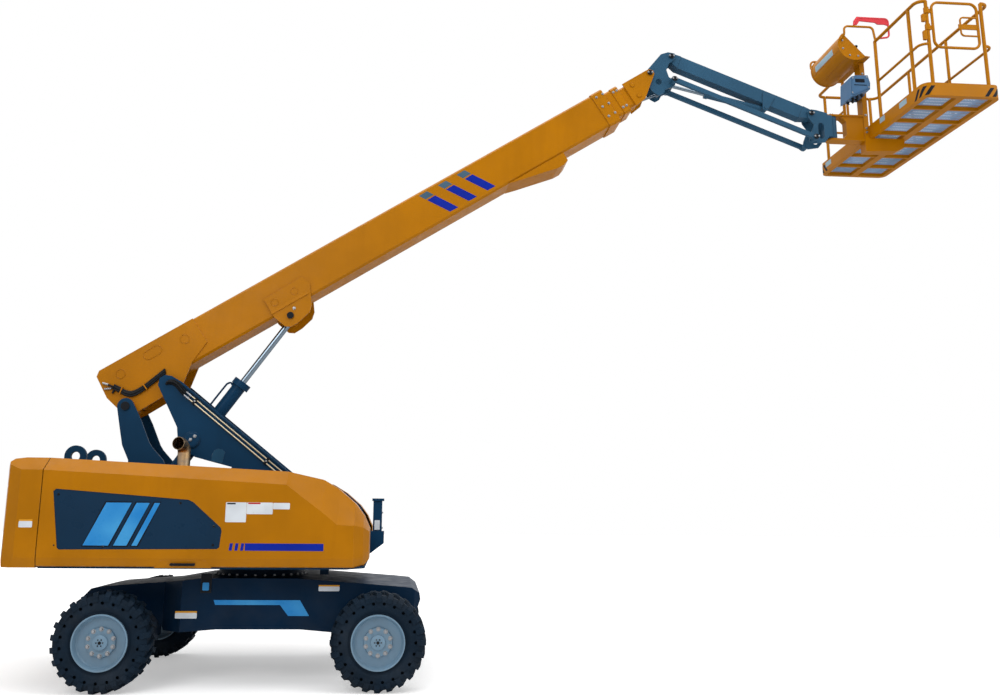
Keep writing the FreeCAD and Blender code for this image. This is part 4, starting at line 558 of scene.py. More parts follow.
def tyre_lugs(bm):
    """Heavy lugs that start on each wall and sweep across the tread, staggered from side to side."""
    for side in (RIGHT, LEFT):
        for middle in turns(LUGS, 0.5 if side == RIGHT else 0):
            sections = []
            for y, top, half, shift, low in LUG_STATIONS:
                turn = middle + shift / top
                corners = ((-half * 1.2, low), (half * 1.2, low), (half, top - 0.004), (half * 0.86, top),
                           (-half * 0.86, top), (-half, top - 0.004))
                sections.append([round_point(turn + across / top, side * y, radius)
                                 for across, radius in corners])
            rings(bm, sections)


def wheel_frame(wheel):
    """The wheel's frame, with +Y outward."""
    turn = Matrix.Rotation(math.pi if "right" in wheel else 0, 4, "Z")
    return Matrix.Translation(joint_place(f"{wheel}_roll")) @ turn


def tyres():
    bm = bmesh.new()
    tyre_walls(bm)
    for turn in turns(HOLES, 0.5):
        tyre_hole(bm, turn)
    bmesh.ops.remove_doubles(bm, verts=bm.verts, dist=1e-5)
    tyre_lugs(bm)
    bmesh.ops.recalc_face_normals(bm, faces=bm.faces)
    for index, wheel in enumerate(WHEELS):
        copy = bm.copy()
        spun = wheel_frame(wheel) @ Matrix.Rotation(0.21 * index, 4, "Y")
        bmesh.ops.transform(copy, matrix=spun, verts=copy.verts)
        piece = add_piece(f"{wheel}_lugged_tyre", copy, FINISH["tyre"], f"{wheel}_wheel", 30)
        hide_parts(f"{wheel}_tyre")
    bm.free()


tyres()
NUTS, NUT_RING, SCREWS = 10, 0.117, 6


def wheel_hardware():
    """Nuts round each hub, a ring of small screws on its cover and a filler plug."""
    for wheel in WHEELS:
        place = wheel_frame(wheel)
        outward = place.to_3x3() @ Y_AXIS
        bm = bmesh.new()
        for turn in turns(NUTS):
            bolt(bm, place @ round_point(turn, 0.1245, NUT_RING), outward, 0.026, 0.8)
        add_piece(f"{wheel}_nuts", bm, STEEL, f"{wheel}_wheel", 30)
        bm = bmesh.new()
        for turn in turns(SCREWS, 0.5):
            bolt(bm, place @ round_point(turn, 0.1575, 0.03), outward, 0.008)
        disc(bm, place @ Vector((0, 0.1578, 0)), outward, 0.014, 0.007)
        add_piece(f"{wheel}_hub_plug", bm, BLACK_PAINT, f"{wheel}_wheel", 30)


wheel_hardware()


# ---- marks and plates

SIDES = (("right", RIGHT), ("left", LEFT))
FILM, PLATE = 0.0009, 0.0014        # thickness of stripes and of plates
HULL, BOOM_SIDE, NECK_SIDE = 1.2, 0.175, 0.8        # Y of the faces that carry them
HOOD = "{side}_hood"
PANEL_FACE, PANEL_LOW, PANEL_HIGH, PANEL_LEAN = 1.194, 1.3, 1.69, 0.185
PANEL_BARS = ((-1.48, 0.23), (-1.205, 0.12), (-1.04, 0.05))        # start and width


def mark(name, outlines, depth, paint, body, place=IDENTITY, thick=FILM):
    """Thin shapes on both sides of the machine; body may hold {side}."""
    for label, sign in SIDES:
        bm = bmesh.new()
        for outline in outlines:
            prism(bm, place, outline, sign * depth, sign * (depth + thick))
        add_piece(f"{name}_{label}", bm, paint, body.format(side=label), 0)


def row(outline, step):
    """Three copies of an outline, a step apart along X."""
    return [[(x + step * index, z) for x, z in outline] for index in range(3)]


def slant(x, width, margin=0.0):
    """A leaning bar across the hood's panel."""
    return [(x - margin, PANEL_LOW - margin), (x + width + margin, PANEL_LOW - margin),
            (x + width + PANEL_LEAN + margin, PANEL_HIGH + margin),
            (x + PANEL_LEAN - margin, PANEL_HIGH + margin)]


mark("hood_stripe", [panel(-0.005, 0.72, 1.262, 1.328, 0.001)], HULL, BLUE_FILM, HOOD)
bar_shape = [(-0.048, 1.262), (-0.02, 1.262), (-0.012, 1.328), (-0.04, 1.328)]
mark("hood_bars", row(bar_shape, -0.052), HULL, BLUE_FILM, HOOD)
mark("hood_plates", [panel(-0.2, -0.008, 1.52, 1.703), panel(-0.006, 0.236, 1.595, 1.703),
                     panel(0.238, 0.394, 1.642, 1.701)], HULL, WHITE_FILM, HOOD, thick=PLATE)
mark("hood_plate_header", [panel(0.006, 0.12, 1.688, 1.701, 0.002)], HULL + PLATE, RED_FILM, HOOD)
mark("hood_plate_header_two", [panel(-0.188, -0.11, 1.684, 1.697, 0.002)], HULL + PLATE, DARK_FILM, HOOD)
mark("weight_plate", [panel(-2.066, -1.945, 1.458, 1.515)], HULL, WHITE_FILM, "turntable", thick=PLATE)
mark("weight_plate_header", [panel(-2.066, -1.945, 1.515, 1.531, 0.002)], HULL, AMBER_FILM, "turntable",
     thick=PLATE)
mark("panel_bar_edges", [slant(*bar, 0.011) for bar in PANEL_BARS], PANEL_FACE, DARK_FILM, HOOD)
mark("panel_bars", [slant(*bar) for bar in PANEL_BARS], PANEL_FACE + FILM, SKY_FILM, HOOD)

bar_shape = [(3.931, 0.359), (4.037, 0.362), (4.192, 0.11), (4.085, 0.112)]
cap_shape = [(3.921, 0.375), (4.028, 0.378), (3.984, 0.45), (3.876, 0.448)]
mark("boom_bars", row(bar_shape, 0.2505), BOOM_SIDE, BLUE_FILM, "boom", place=BOOM)
mark("boom_bar_caps", row(cap_shape, 0.2505), BOOM_SIDE, STONE_FILM, "boom", place=BOOM)

stripe = [(-0.335, 0.783), (0.486, 0.783), (0.578, 0.637), (0.378, 0.637), (0.297, 0.738), (-0.318, 0.738)]
hook = [(-0.462, 0.85), (-0.363, 0.85), (-0.363, 1.028), (-0.462, 1.028)]
plates = [panel(-0.69, -0.485, 0.612, 0.664), panel(0.66, 0.862, 0.868, 0.912)]
headers = [panel(-0.69, -0.485, 0.664, 0.68, 0.002), panel(0.66, 0.862, 0.912, 0.926, 0.002)]
mark("chassis_stripe", [stripe], NECK_SIDE, SKY_FILM, "chassis")
mark("chassis_plates", plates, NECK_SIDE, WHITE_FILM, "chassis", thick=PLATE)
mark("chassis_plate_headers", headers, NECK_SIDE, AMBER_FILM, "chassis", thick=PLATE)
mark("chassis_hooks", [hook], NECK_SIDE, BLACK_PAINT, "chassis", thick=0.012)
mark("chassis_squares", [panel(-0.445, -0.384, 0.872, 0.945)], NECK_SIDE + 0.012, SKY_FILM, "chassis",
     thick=PLATE)


# ---- hoods

SILL_INSET, SILL_HEIGHT = 0.022, 0.09


def sill_frame(sign):
    """A frame on a hood's sloping sill, with Y outward and Z up the slope."""
    slope = math.atan2(SILL_INSET, SILL_HEIGHT)
    outward = Vector((0, sign * math.cos(slope), -math.sin(slope)))
    up = Vector((0, sign * math.sin(slope), math.cos(slope)))
    turn = Matrix((Vector((1, 0, 0)), outward, up)).transposed().to_4x4()
    return Matrix.Translation((-0.565, sign * 1.178, 1.098)) @ turn


def hood_details():
    for label, sign in SIDES:
        place = sill_frame(sign)
        bm = bmesh.new()
        prism(bm, place, [(-0.262, 0.004), (0.262, 0.004), (0.2, 0.076), (-0.2, 0.076)], -0.001, 0.002)
        add_piece(f"{label}_latch_recess", bm, BODY_PAINT, f"{label}_hood", 0)
        bm = bmesh.new()
        block(bm, place, -0.115, 0.115, 0.014, 0.026, 0.03, 0.052, 0.006)
        for x in (-0.1, 0.1):
            block(bm, place, x - 0.012, x + 0.012, 0.001, 0.018, 0.032, 0.05, 0.004)
        add_piece(f"{label}_latch_handle", bm, BLACK_PAINT, f"{label}_hood", 30)
        bm = bmesh.new()
        for x, z in ((-1.735, 1.3), (-1.735, 1.76), (-1.3, 1.29), (-0.3, 1.31), (-0.3, 1.48),
                     (-0.62, 1.69)):
            bolt(bm, (x, sign * PANEL_FACE, z), (0, sign, 0), 0.014, 0.4)
        add_piece(f"{label}_panel_screws", bm, BLACK_PAINT, f"{label}_hood", 30)


hood_details()


# ---- turntable

PLATE_FACE = 0.2525
TRUNNION = Vector((-0.755, 0, 2.35))
SLOPE_TOP, SLOPE_END = Vector((-0.894, 0, 2.959)), Vector((1.085, 0, 1.384))
SLOPE = frame_at(SLOPE_TOP, SLOPE_END - SLOPE_TOP)


def turntable_plates():
    """Covers and keepers on the tall side plates, and the flange on their sloping edge."""
    # The weld pad's paint: a paler navy than the plate it sits on, with heavier wear and patches
    pad_paint = painted("pale_pad_navy", (34, 74, 102), 0.5, 0.5, 0.2, 0.2, gloss=0.07)
    for label, sign in SIDES:
        axis = (0, sign, 0)
        bm = bmesh.new()
        disc(bm, TRUNNION + Vector((0, sign * 0.2685, 0)), axis, 0.08, 0.01, 32)
        disc(bm, TRUNNION + Vector((0, sign * 0.2785, 0)), axis, 0.066, 0.003, 32)
        add_piece(f"{label}_pin_covers", bm, FINISH["navy"], "turntable")
        spots = [TRUNNION + Vector((x, sign * 0.2815, z))
                 for x, z in ((0.036, 0.036), (-0.006, 0), (-0.046, -0.038))]
        bolts(f"{label}_plate_bolts", "turntable", spots, axis, 0.022)
        bm = bmesh.new()
        disc(bm, PIVOT + Vector((0, sign * 0.2625, 0)), axis, 0.046, 0.006, 24)
        add_piece(f"{label}_pivot_cap", bm, BLACK_PAINT, "turntable")
        bm = bmesh.new()
        sides = sorted((sign * PLATE_FACE, sign * (PLATE_FACE + 0.026)))
        block(bm, SLOPE, 0.03, (SLOPE_END - SLOPE_TOP).length - 0.06, *sides, -0.0185, -0.0045)
        add_piece(f"{label}_edge_flange", bm, FINISH["navy"], "turntable", 0)
        arch = [(-0.54, 2.132), (-0.536, 2.205), (-0.512, 2.246), (-0.474, 2.262), (-0.432, 2.254),
                (-0.402, 2.226), (-0.414, 2.17), (-0.428, 2.11)]
        bm = bmesh.new()
        prism(bm, IDENTITY, arch, sign * PLATE_FACE, sign * (PLATE_FACE + 0.002))
        add_piece(f"{label}_weld_pad", bm, pad_paint, "turntable", 0)


CLAMPS, PIPE_ROWS, PIPE_Y = (0.245, 1.235), (-0.047, -0.087), -0.2645


def slope_pipes():
    """Two rigid pipes and their clamps on the right plate, just behind its sloping edge."""
    bm = bmesh.new()
    for depth in PIPE_ROWS:
        tube(bm, [SLOPE @ Vector((x, PIPE_Y, depth)) for x in (0.18, 2.0)], 0.0085, 12)
    add_piece("slope_pipes", bm, metal("yellow_zinc", (196, 184, 158), 0.36), "turntable")
    bm = bmesh.new()
    for x in CLAMPS:
        block(bm, SLOPE, x - 0.014, x + 0.014, -0.277, -0.2526, -0.106, -0.028, 0.003)
    add_piece("slope_clamps", bm, BLACK_PAINT, "turntable", 30)
    spots = [SLOPE @ Vector((x, -0.277, -0.067)) for x in CLAMPS]
    bolts("slope_clamp_bolts", "turntable", spots, (0, -1, 0), 0.012)
    bm = bmesh.new()
    for depth in PIPE_ROWS:
        place = frame_at(SLOPE @ Vector((0.11, PIPE_Y, depth)), SLOPE_END - SLOPE_TOP)
        spun = place @ Matrix.Rotation(-math.pi / 2, 4, "Z")
        lathe(bm, spun, [(0, 0), (0, 0.011), (0.04, 0.011), (0.04, 0.015), (0.075, 0.015), (0.075, 0)], 6)
    add_piece("slope_fittings", bm, STEEL, "turntable", 30)
    bm = bmesh.new()
    for depth, out in ((-0.047, 0.262), (-0.087, 0.262), (-0.067, 0.28)):
        bends = ((-0.115, -out, depth - 0.035), (-0.07, -out, depth + 0.006), (-0.01, -out, depth + 0.016),
                 (0.06, -out, depth + 0.004), (0.112, PIPE_Y, depth))
        tube(bm, smooth_path([SLOPE @ Vector(point) for point in bends], 5), 0.0125, 10)
    add_piece("slope_hoses", bm, BLACK_RUBBER, "turntable")


turntable_plates()
slope_pipes()


def bolt_ring(name, body, count, offset, radius, z, size):
    """A ring of bolts about the slewing axis."""
    spots = [Vector((radius * math.cos(turn), radius * math.sin(turn), z)) for turn in turns(count, offset)]
    bolts(name, body, spots, (0, 0, 1), size)


def post_details():
    """Bolts and a blank plate on the front post."""
    bm = bmesh.new()
    for z in (1.46, 1.62):
        for sign in (RIGHT, LEFT):
            bolt(bm, (1.25, sign * 0.026, z), (1, 0, 0), 0.014)
    add_piece("post_bolts", bm, STEEL, "turntable", 30)
    bm = bmesh.new()
    prism(bm, IDENTITY, panel(1.172, 1.228, 1.44, 1.54, 0.004), -0.0601, -0.0614)
    add_piece("post_plate", bm, WHITE_FILM, "turntable", 0)


def engine_details():
    """What shows of the engine under the right hood: covers, fins, manifold, filter, starter, belt drive."""
    (back, face, base), (nose, _, top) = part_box("engine")
    cast, dark = FINISH["engine"], painted("engine_dark", (44, 48, 54), 0.5, 0.4, 0.2)
    bm = bmesh.new()
    block(bm, IDENTITY, back + 0.09, nose - 0.2, face + 0.11, face + 0.3, top - 0.002, top + 0.048, 0.018)
    for step in range(9):
        x = back + 0.14 + 0.055 * step
        block(bm, IDENTITY, x, x + 0.016, face - 0.022, face + 0.002, base + 0.16, top - 0.16, 0.005)
    block(bm, IDENTITY, back + 0.02, nose - 0.02, face - 0.014, face + 0.002, base + 0.03, base + 0.11, 0.012)
    add_piece("engine_covers", bm, cast, "turntable", 0)
    spots = [Vector((back + 0.13 + 0.132 * step, y, top + 0.048))
             for step in range(5) for y in (face + 0.13, face + 0.28)]
    bolts("engine_cover_bolts", "turntable", spots, (0, 0, 1), 0.016)
    spots = [Vector((back + 0.06 + 0.09 * step, face - 0.014, base + 0.07)) for step in range(9)]
    bolts("engine_sump_bolts", "turntable", spots, (0, -1, 0), 0.016)
    bm = bmesh.new()
    run = top - 0.075
    tube(bm, [Vector((x, face - 0.045, run)) for x in (back + 0.1, nose - 0.24)], 0.026, 16)
    for step in range(4):
        x = back + 0.16 + 0.135 * step
        bends = ((0.045, 0), (0.052, 0.03), (0.03, 0.052), (-0.003, 0.056))
        path = smooth_path([Vector((x, face - out, run - down)) for out, down in bends], 4)
        tube(bm, path, 0.018, 12)
    add_piece("engine_manifold", bm, cast, "turntable")
    bm = bmesh.new()
    stand = pin_frame(Vector((nose - 0.13, face - 0.046, base + 0.2)), (0, 0, 1))
    lathe(bm, stand, [(0, 0), (0, 0.036), (0.012, 0.042), (0.105, 0.042), (0.112, 0.038), (0.118, 0.044),
                      (0.138, 0.044), (0.138, 0)], 28)
    motor = pin_frame(Vector((back + 0.08, face - 0.046, base + 0.165)), (1, 0, 0))
    lathe(bm, motor, [(0, 0), (0, 0.03), (0.01, 0.038), (0.15, 0.038), (0.156, 0.032), (0.19, 0.028),
                      (0.23, 0.02), (0.23, 0)], 28)
    add_piece("engine_filter_and_starter", bm, dark, "turntable")
    bm = bmesh.new()
    wheels = ((face + 0.21, base + 0.2, 0.088), (face + 0.21, top - 0.17, 0.062),
              (face + 0.06, base + 0.36, 0.045))
    for y, z, radius in wheels:
        hub = pin_frame(Vector((nose - 0.002, y, z)), (1, 0, 0))
        groove = radius - 0.008
        lathe(bm, hub, [(0, 0), (0, 0.02), (0.012, 0.02), (0.012, radius), (0.018, radius), (0.022, groove),
                        (0.028, groove), (0.032, radius), (0.038, radius), (0.038, radius * 0.4),
                        (0.046, radius * 0.35), (0.046, 0)], 32)
    add_piece("engine_pulleys", bm, STEEL, "turntable", 30)
    bm = bmesh.new()
    loop = []
    for (y, z, radius), start, end in zip(wheels, (-150, 0, 160), (0, 160, 210)):
        for step in range(7):
            turn, reach = math.radians(start + (end - start) * step / 6), radius - 0.002
            loop.append(Vector((nose + 0.023, y + reach * math.cos(turn), z + reach * math.sin(turn))))
    tube(bm, loop + loop[:1], 0.005, 6)
    add_piece("engine_belt", bm, BLACK_RUBBER, "turntable")


bolt_ring("deck_ring_bolts", "turntable", 28, 0, 0.385, 1.11, 0.024)
bolt_ring("race_bolts", "chassis", 30, 0.5, 0.458, 0.985, 0.022)
post_details()
engine_details()


# ---- boom

def on_side(u, v, depth):
    """A point on the boom's side: along it, up from its pivot line, and out from its middle."""
    return BOOM @ Vector((u, depth, v))


# X from and to, Z from and to, and depth of each raised rim
SLOT_RIMS = ((0.058, 0.156, 0.296, 0.394, 0.1875), (0.402, 0.606, 0.328, 0.426, 0.1875),
             (0.815, 0.911, 0.284, 0.382, 0.1875), (1.842, 1.922, 0.155, 0.235, 0.1905),
             (2.09, 2.17, 0.155, 0.235, 0.1905))


def slot_ring(bm, x0, x1, z0, z1, depth, sign):
    """A raised rim round a stadium-shaped cover."""
    radius, middle = (z1 - z0) / 2, (z0 + z1) / 2
    outline = [(x + radius * math.cos(a), middle + radius * math.sin(a))
               for x, start in ((x1 - radius, -90), (x0 + radius, 90))
               for a in (math.radians(start + 15 * k) for k in range(13))]
    tube(bm, [on_side(x, z, sign * depth) for x, z in outline + outline[:1]], 0.0048, 8)


def boom_details():
    """Rims, pad bolts, bosses, washers and the lift bracket's fold on both sides of the boom."""
    for label, sign in SIDES:
        axis = BOOM.to_3x3() @ Vector((0, sign, 0))
        bm = bmesh.new()
        for rim in SLOT_RIMS:
            slot_ring(bm, *rim, sign)
        add_piece(f"{label}_foot_beads", bm, BODY_PAINT, "boom")
        spots = [on_side(u, v, sign * 0.185) for u in (6.3, 6.388) for v in (0.166, 0.3, 0.435)]
        bolts(f"{label}_base_pad_bolts", "boom", spots, axis, 0.019)
        spots = [on_side(u, v, sign * 0.146) for u in (6.529, 6.575) for v in (0.183, 0.399)]
        bolts(f"{label}_mid_pad_bolts", "boom_mid", spots, axis, 0.019)
        bm = bmesh.new()
        for u, v in ((6.788, 0.37), (6.789, 0.219)):
            disc(bm, on_side(u, v, sign * 0.122), axis, 0.026, 0.01, 24)
        add_piece(f"{label}_head_bosses", bm, BODY_PAINT, "boom_fly")
        bm = bmesh.new()
        disc(bm, on_side(1.955, -0.02, sign * 0.203), axis, 0.038, 0.006, 24)
        disc(bm, on_side(0, 0, sign * 0.211), axis, 0.06, 0.004, 24)
        add_piece(f"{label}_boom_washers", bm, BLACK_PAINT, "boom")
        keeper = [on_side(2.03, 0.03, sign * 0.191)]
        bolts(f"{label}_boom_keepers", "boom", keeper, axis, 0.022)
        bm = bmesh.new()
        fold = ((0.1895, 0.09), (0.2005, 0.093), (0.1895, 0.13))
        rings(bm, [[on_side(u, v, sign * depth) for depth, v in fold] for u in (1.79, 2.25)])
        add_piece(f"{label}_bracket_fold", bm, BODY_PAINT, "boom", 0)


def tail_hoses():
    """Hose bundle clamped along the right side of the boom's foot, with its fittings."""
    depth = -0.2
    main = [(-0.014, 0.247), (0.023, 0.189), (0.057, 0.132), (0.111, 0.088), (0.186, 0.078), (0.258, 0.082),
            (0.335, 0.094), (0.435, 0.11), (0.52, 0.125)]
    bm = bmesh.new()
    strands = ((0, 0, 0), (0.01, 0.02, 0.004), (-0.008, -0.016, 0.006), (0.002, 0.004, 0.009))
    for shift_u, shift_v, out in strands:
        path = smooth_path([on_side(u + shift_u, v + shift_v, depth - out) for u, v in main], 4)
        tube(bm, path, 0.0125, 10)
    feeds = (((-0.057, 0.305), (-0.035, 0.275), (-0.014, 0.25)),
             ((-0.048, 0.252), (-0.03, 0.245), (-0.01, 0.236)),
             ((-0.062, 0.2), (-0.04, 0.215), (-0.012, 0.226)))
    for feed in feeds:
        tube(bm, smooth_path([on_side(u, v, depth - 0.004) for u, v in feed], 4), 0.0105, 10)
    add_piece("tail_hoses", bm, BLACK_RUBBER, "boom")
    bm = bmesh.new()
    for start, end in (((-0.098, 0.35), (-0.055, 0.303)), ((-0.112, 0.285), (-0.045, 0.252))):
        ends = [on_side(u, v, depth - 0.004) for u, v in (start, end)]
        tube(bm, ends, 0.0115, 6)
    add_piece("tail_fittings", bm, STEEL, "boom", 30)
    bm = bmesh.new()
    for u, v, lean in ((0.03, 0.178, 0.9), (0.262, 0.084, -0.1)):
        place = BOOM @ Matrix.Translation((u, 0, v)) @ Matrix.Rotation(lean, 4, "Y")
        block(bm, place, -0.006, 0.006, -0.2235, -0.1871, -0.036, 0.044, 0.004)
    add_piece("tail_hose_straps", bm, BODY_PAINT, "boom", 30)


boom_details()
tail_hoses()


# ---- cylinders and jib

BARREL_LINE, BARREL_RADIUS, LINK_DROP = (0.57417, 0, 0.81873), 0.073, 0.335


def barrel_pipe():
    """Feed pipe bowed off the lift barrel's upper side, from a low block to its nose."""
    place, side = frame_at(TRUNNION, BARREL_LINE), BARREL_RADIUS
    bends = ((0.3, 0), (0.31, 0.04), (0.35, 0.056), (0.64, 0.056), (0.69, 0.05), (0.715, 0.03),
             (0.715, -0.004))
    path = smooth_path([place @ Vector((x, 0, side + rise)) for x, rise in bends], 4)
    bm = bmesh.new()
    tube(bm, path, 0.0105, 12)
    block(bm, place, 0.282, 0.322, -0.018, 0.018, side * 0.8, side + 0.014, 0.003)
    block(bm, place, 0.697, 0.733, -0.018, 0.018, side * 0.8, side + 0.012, 0.003)
    add_piece("lift_barrel_pipe", bm, FINISH["navy"], "lift_barrel")


barrel_pipe()


PINS = (("boom_fly", "mount_level", 0.13), ("jib_mount", "jib_lift", 0.104),
        ("jib_mount", "jib_links_swing", 0.191), ("platform_bracket", "platform_level", 0.104))


def jib_details():
    """Dark caps on the ends of the jib's pins, each held by a lug with two screws."""
    link_foot = joint_place("platform_level") + Vector((0, 0, -LINK_DROP))
    spots = [(body, joint_place(joint), depth) for body, joint, depth in PINS]
    spots.append(("platform_bracket", link_foot, 0.191))
    for body, point, depth in spots:
        for label, sign in SIDES:
            tag = f"{body}_{round(point.x * 100)}_{round(point.z * 100)}_{label}"
            end = point + Vector((0, sign * depth, 0))
            bm = bmesh.new()
            disc(bm, end, (0, sign, 0), 0.031, 0.008, 24)
            sides = sorted((sign * (depth + 0.008), sign * (depth + 0.013)))
            place = Matrix.Translation((point.x, 0, point.z))
            block(bm, place, -0.036, 0.036, *sides, -0.011, 0.011, 0.004)
            add_piece(f"pin_cap_{tag}", bm, BLACK_PAINT, body, 30)
            ends = [end + Vector((shift, sign * 0.013, 0)) for shift in (-0.024, 0.024)]
            bolts(f"keeper_{tag}", body, ends, (0, sign, 0), 0.014)


jib_details()


# ---- platform

END = joint_place("platform_level")
BASKET = {"back": END.x + 0.725, "face": END.x + 1.595, "half": 1.22, "low": END.z - 0.27, "corner": 0.085}
BAND_WIDTH, BAND_LEAN = 0.044, 0.075


def toe_point(toward, across, run, z, lift):
    """A point on the toe board near one corner, run measured from where the long side meets the corner."""
    radius = BASKET["corner"]
    x = (BASKET["face"] - radius) if toward > 0 else (BASKET["back"] + radius)
    y = across * (BASKET["half"] - radius)
    quarter = radius * math.pi / 2
    reach = radius + lift
    if run < 0:
        return Vector((x + toward * run, y + across * reach, z))
    if run > quarter:
        return Vector((x + toward * reach, y - across * (run - quarter), z))
    turn = run / radius
    return Vector((x + toward * reach * math.sin(turn), y + across * reach * math.cos(turn), z))


def hazard_stripes():
    """Slanted black bands round the toe board's four corners."""
    low, tall, steps = BASKET["low"] + 0.008, 0.105, 7
    for toward, end, starts in ((-1, "back", (-0.04, 0.045, 0.13)), (1, "face", (-0.11, -0.025))):
        for label, across in SIDES:
            bm = bmesh.new()
            for start in starts:
                sections = []
                for step in range(steps + 1):
                    rise = step / steps
                    first = start + BAND_LEAN * (rise if toward > 0 else 1 - rise)
                    spots = [first + BAND_WIDTH * part / 4 for part in range(5)]
                    z = low + tall * rise
                    faces = ((spots, 0.0012), (spots[::-1], -0.0006))
                    sections.append([toe_point(toward, across, spot, z, lift)
                                     for face, lift in faces for spot in face])
                rings(bm, sections)
            add_piece(f"hazard_{end}_{label}", bm, BLACK_PAINT, "platform", 0)


def toe_plates():
    """Small pale plates on the toe board's boom side."""
    bm = bmesh.new()
    for y, width, z in ((-0.8, 0.15, 6.196), (-0.36, 0.11, 6.205), (0.99, 0.15, 6.192)):
        block(bm, IDENTITY, BASKET["back"] - 0.0014, BASKET["back"] + 0.001, y - width / 2, y + width / 2,
              z - 0.032, z + 0.032, 0)
    add_piece("toe_plates", bm, PALE_FILM, "platform", 0)


def floor_mesh():
    """Expanded metal under the walking bars: zigzag strands from back to face."""
    back, face = BASKET["back"] + 0.03, BASKET["face"] - 0.03
    top = BASKET["low"] + 0.0455
    cells, strands = 26, 92
    width = (face - back) / cells
    pitch = 2 * (BASKET["half"] - 0.045) / strands
    bm = bmesh.new()
    for strand in range(strands):
        middle = -BASKET["half"] + 0.045 + pitch * (strand + 0.5)
        for half in (0, 1):
            sections = []
            for cell in range(cells + 1):
                sway = pitch * 0.44 * (1 if (cell + half) % 2 else -1)
                x, y = back + width * cell, middle + sway
                corners = ((-0.0013, -0.004), (0.0013, -0.004), (0.0013, 0), (-0.0013, 0))
                sections.append([Vector((x, y + aside, top + rise)) for aside, rise in corners])
            rings(bm, sections)
    add_piece("floor_mesh", bm, FINISH["galvanised"], "platform", 0)


CONSOLE = frame_at((END.x + 0.53, 0, END.z + 0.85), (0.676, 0, -0.737))


def on_console(radius, turn, y):
    """A point round the axis of the console's cover."""
    return CONSOLE @ Vector((radius * math.cos(turn), y, -radius * math.sin(turn)))


def console_details():
    """Black control panel in the cover's open face, its sticks and buttons, and plates on the cover."""
    bm = bmesh.new()
    block(bm, CONSOLE, -0.15, 0.15, -0.196, 0.486, -0.0125, -0.006, 0.002)
    add_piece("control_panel", bm, BLACK_PAINT, "platform", 0)
    up = CONSOLE.to_3x3() @ Vector((0, 0, 1))
    bm = bmesh.new()
    for y in (-0.11, 0.13, 0.37):
        stem = pin_frame(CONSOLE @ Vector((0.03, y, -0.006)), up)
        lathe(bm, stem, [(0, 0), (0, 0.036), (0.006, 0.036), (0.016, 0.022), (0.026, 0.009), (0.07, 0.008),
                         (0.078, 0.016), (0.096, 0.02), (0.11, 0.014), (0.114, 0)], 20)
    add_piece("control_sticks", bm, BLACK_RUBBER, "platform")
    for name, paint, spots in (("red", RED_FILM, ((-0.09, 0.01), (-0.09, 0.43))),
                               ("amber", AMBER_FILM, ((-0.09, 0.07), (-0.09, 0.25), (-0.03, 0.25))),
                               ("pale", PALE_FILM, ((-0.09, -0.05), (-0.09, 0.13), (-0.03, 0.01),
                                                    (-0.09, 0.31), (-0.03, 0.45)))):
        bm = bmesh.new()
        for x, y in spots:
            disc(bm, CONSOLE @ Vector((x, y, -0.006)), up, 0.013, 0.01, 16, 0.3)
        add_piece(f"control_buttons_{name}", bm, paint, "platform")
    for label, y, sign in (("right", -0.22, RIGHT), ("left", 0.51, LEFT)):
        spots = [on_console(0.15, turn, y) for turn in (0.45, 1.15, 1.95, 2.65)]
        bolts(f"console_screws_{label}", "platform", spots, (0, sign, 0), 0.015)
    bm = bmesh.new()
    for turn in (1.25, 1.95):
        corners = ((0.1898, turn - 0.012), (0.1898, turn + 0.012), (0.1925, turn + 0.01),
                   (0.1925, turn - 0.01))
        rings(bm, [[on_console(*corner, y) for corner in corners] for y in (-0.2, 0.49)])
    add_piece("console_seams", bm, BODY_PAINT, "platform", 0)
    bm = bmesh.new()
    arc = [2.02 + 0.05 * step for step in range(9)]
    outline = [(0.1912, turn) for turn in arc] + [(0.1895, turn) for turn in reversed(arc)]
    rings(bm, [[on_console(*corner, y) for corner in outline] for y in (-0.06, 0.4)])
    add_piece("console_plate", bm, PALE_FILM, "platform", 30)


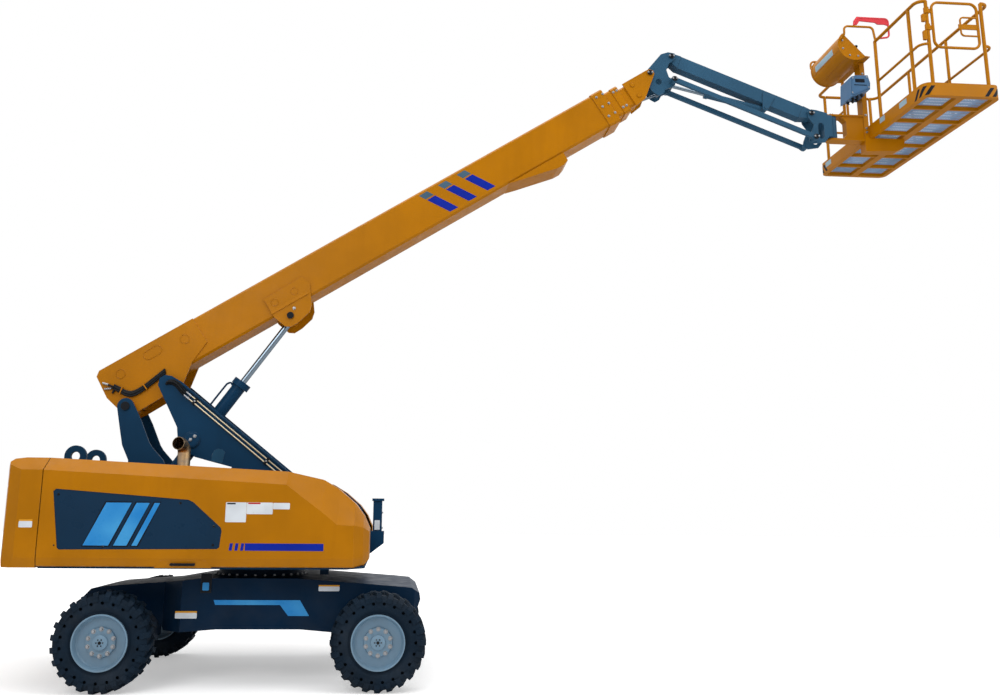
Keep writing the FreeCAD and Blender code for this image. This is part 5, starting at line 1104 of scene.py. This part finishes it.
def junction_details():
    """Screws, two dark labels without print, and cable glands on the junction box."""
    place = Matrix.Translation(END)
    bm = bmesh.new()
    for x, z in ((0.402, 0.17), (0.42, 0.355), (0.59, 0.372), (0.606, 0.245)):
        bolt(bm, place @ Vector((x, -0.338, z)), (0, -1, 0), 0.012, 0.4)
    add_piece("junction_screws", bm, STEEL, "platform", 30)
    bm = bmesh.new()
    block(bm, place, 0.428, 0.585, -0.3395, -0.3378, 0.262, 0.272, 0.002)
    block(bm, place, 0.445, 0.56, -0.34, -0.3378, 0.3, 0.345, 0.004)
    add_piece("junction_panel", bm, DARK_FILM, "platform", 0)
    bm = bmesh.new()
    slope = Vector((0.242, 0, 0.108)).normalized()
    down = Vector((slope.z, 0, -slope.x))
    for reach in (0.06, 0.12, 0.18):
        for y in (-0.26, -0.14):
            spot = END + Vector((0.383, y, 0.114)) + slope * reach
            disc(bm, spot, down, 0.017, 0.02, 12)
            disc(bm, spot + down * 0.02, down, 0.012, 0.016, 12)
    add_piece("junction_glands", bm, BLACK_RUBBER, "platform")


def basket_hardware():
    """Gate springs, the rotator's cap, bolts on the support and the red lever's plate."""
    rail_y = -1.196
    bm = bmesh.new()
    for z0, z1 in ((6.978, 7.066), (6.76, 6.868)):
        block(bm, IDENTITY, END.x + 0.784, END.x + 0.8245, rail_y - 0.017, rail_y + 0.013, z0, z1, 0.005)
    add_piece("gate_springs", bm, BODY_PAINT, "platform", 30)
    top = END + Vector((0.28, 0, 0.013))
    bm = bmesh.new()
    disc(bm, top, (0, 0, 1), 0.052, 0.01, 28)
    for turn in turns(8, 0.5):
        bolt(bm, top + Vector((0.038 * math.cos(turn), 0.038 * math.sin(turn), 0.01)), (0, 0, 1), 0.012)
    add_piece("rotator_cap", bm, BLACK_PAINT, "platform", 30)
    bm = bmesh.new()
    for z in (-0.2, -0.15, 0.02, 0.5, 0.56):
        for sign in (RIGHT, LEFT):
            bolt(bm, END + Vector((0.695, sign * 0.06, z)), (0, sign, 0), 0.018)
    add_piece("upright_bolts", bm, STEEL, "platform", 30)
    bm = bmesh.new()
    y = -0.315
    plate_shape = [(6.757, 7.42), (6.765, 7.478), (6.806, 7.533), (7.12, 7.531), (7.186, 7.494),
                   (7.193, 7.43), (7.15, 7.446), (7.06, 7.444), (7.03, 7.466), (6.84, 7.478),
                   (6.805, 7.428)]
    prism(bm, IDENTITY, plate_shape, y - 0.006, y + 0.006)
    add_piece("lever_plate", bm, FINISH["lever_red"], "platform", 0)


hazard_stripes()
toe_plates()
floor_mesh()
console_details()
junction_details()
basket_hardware()
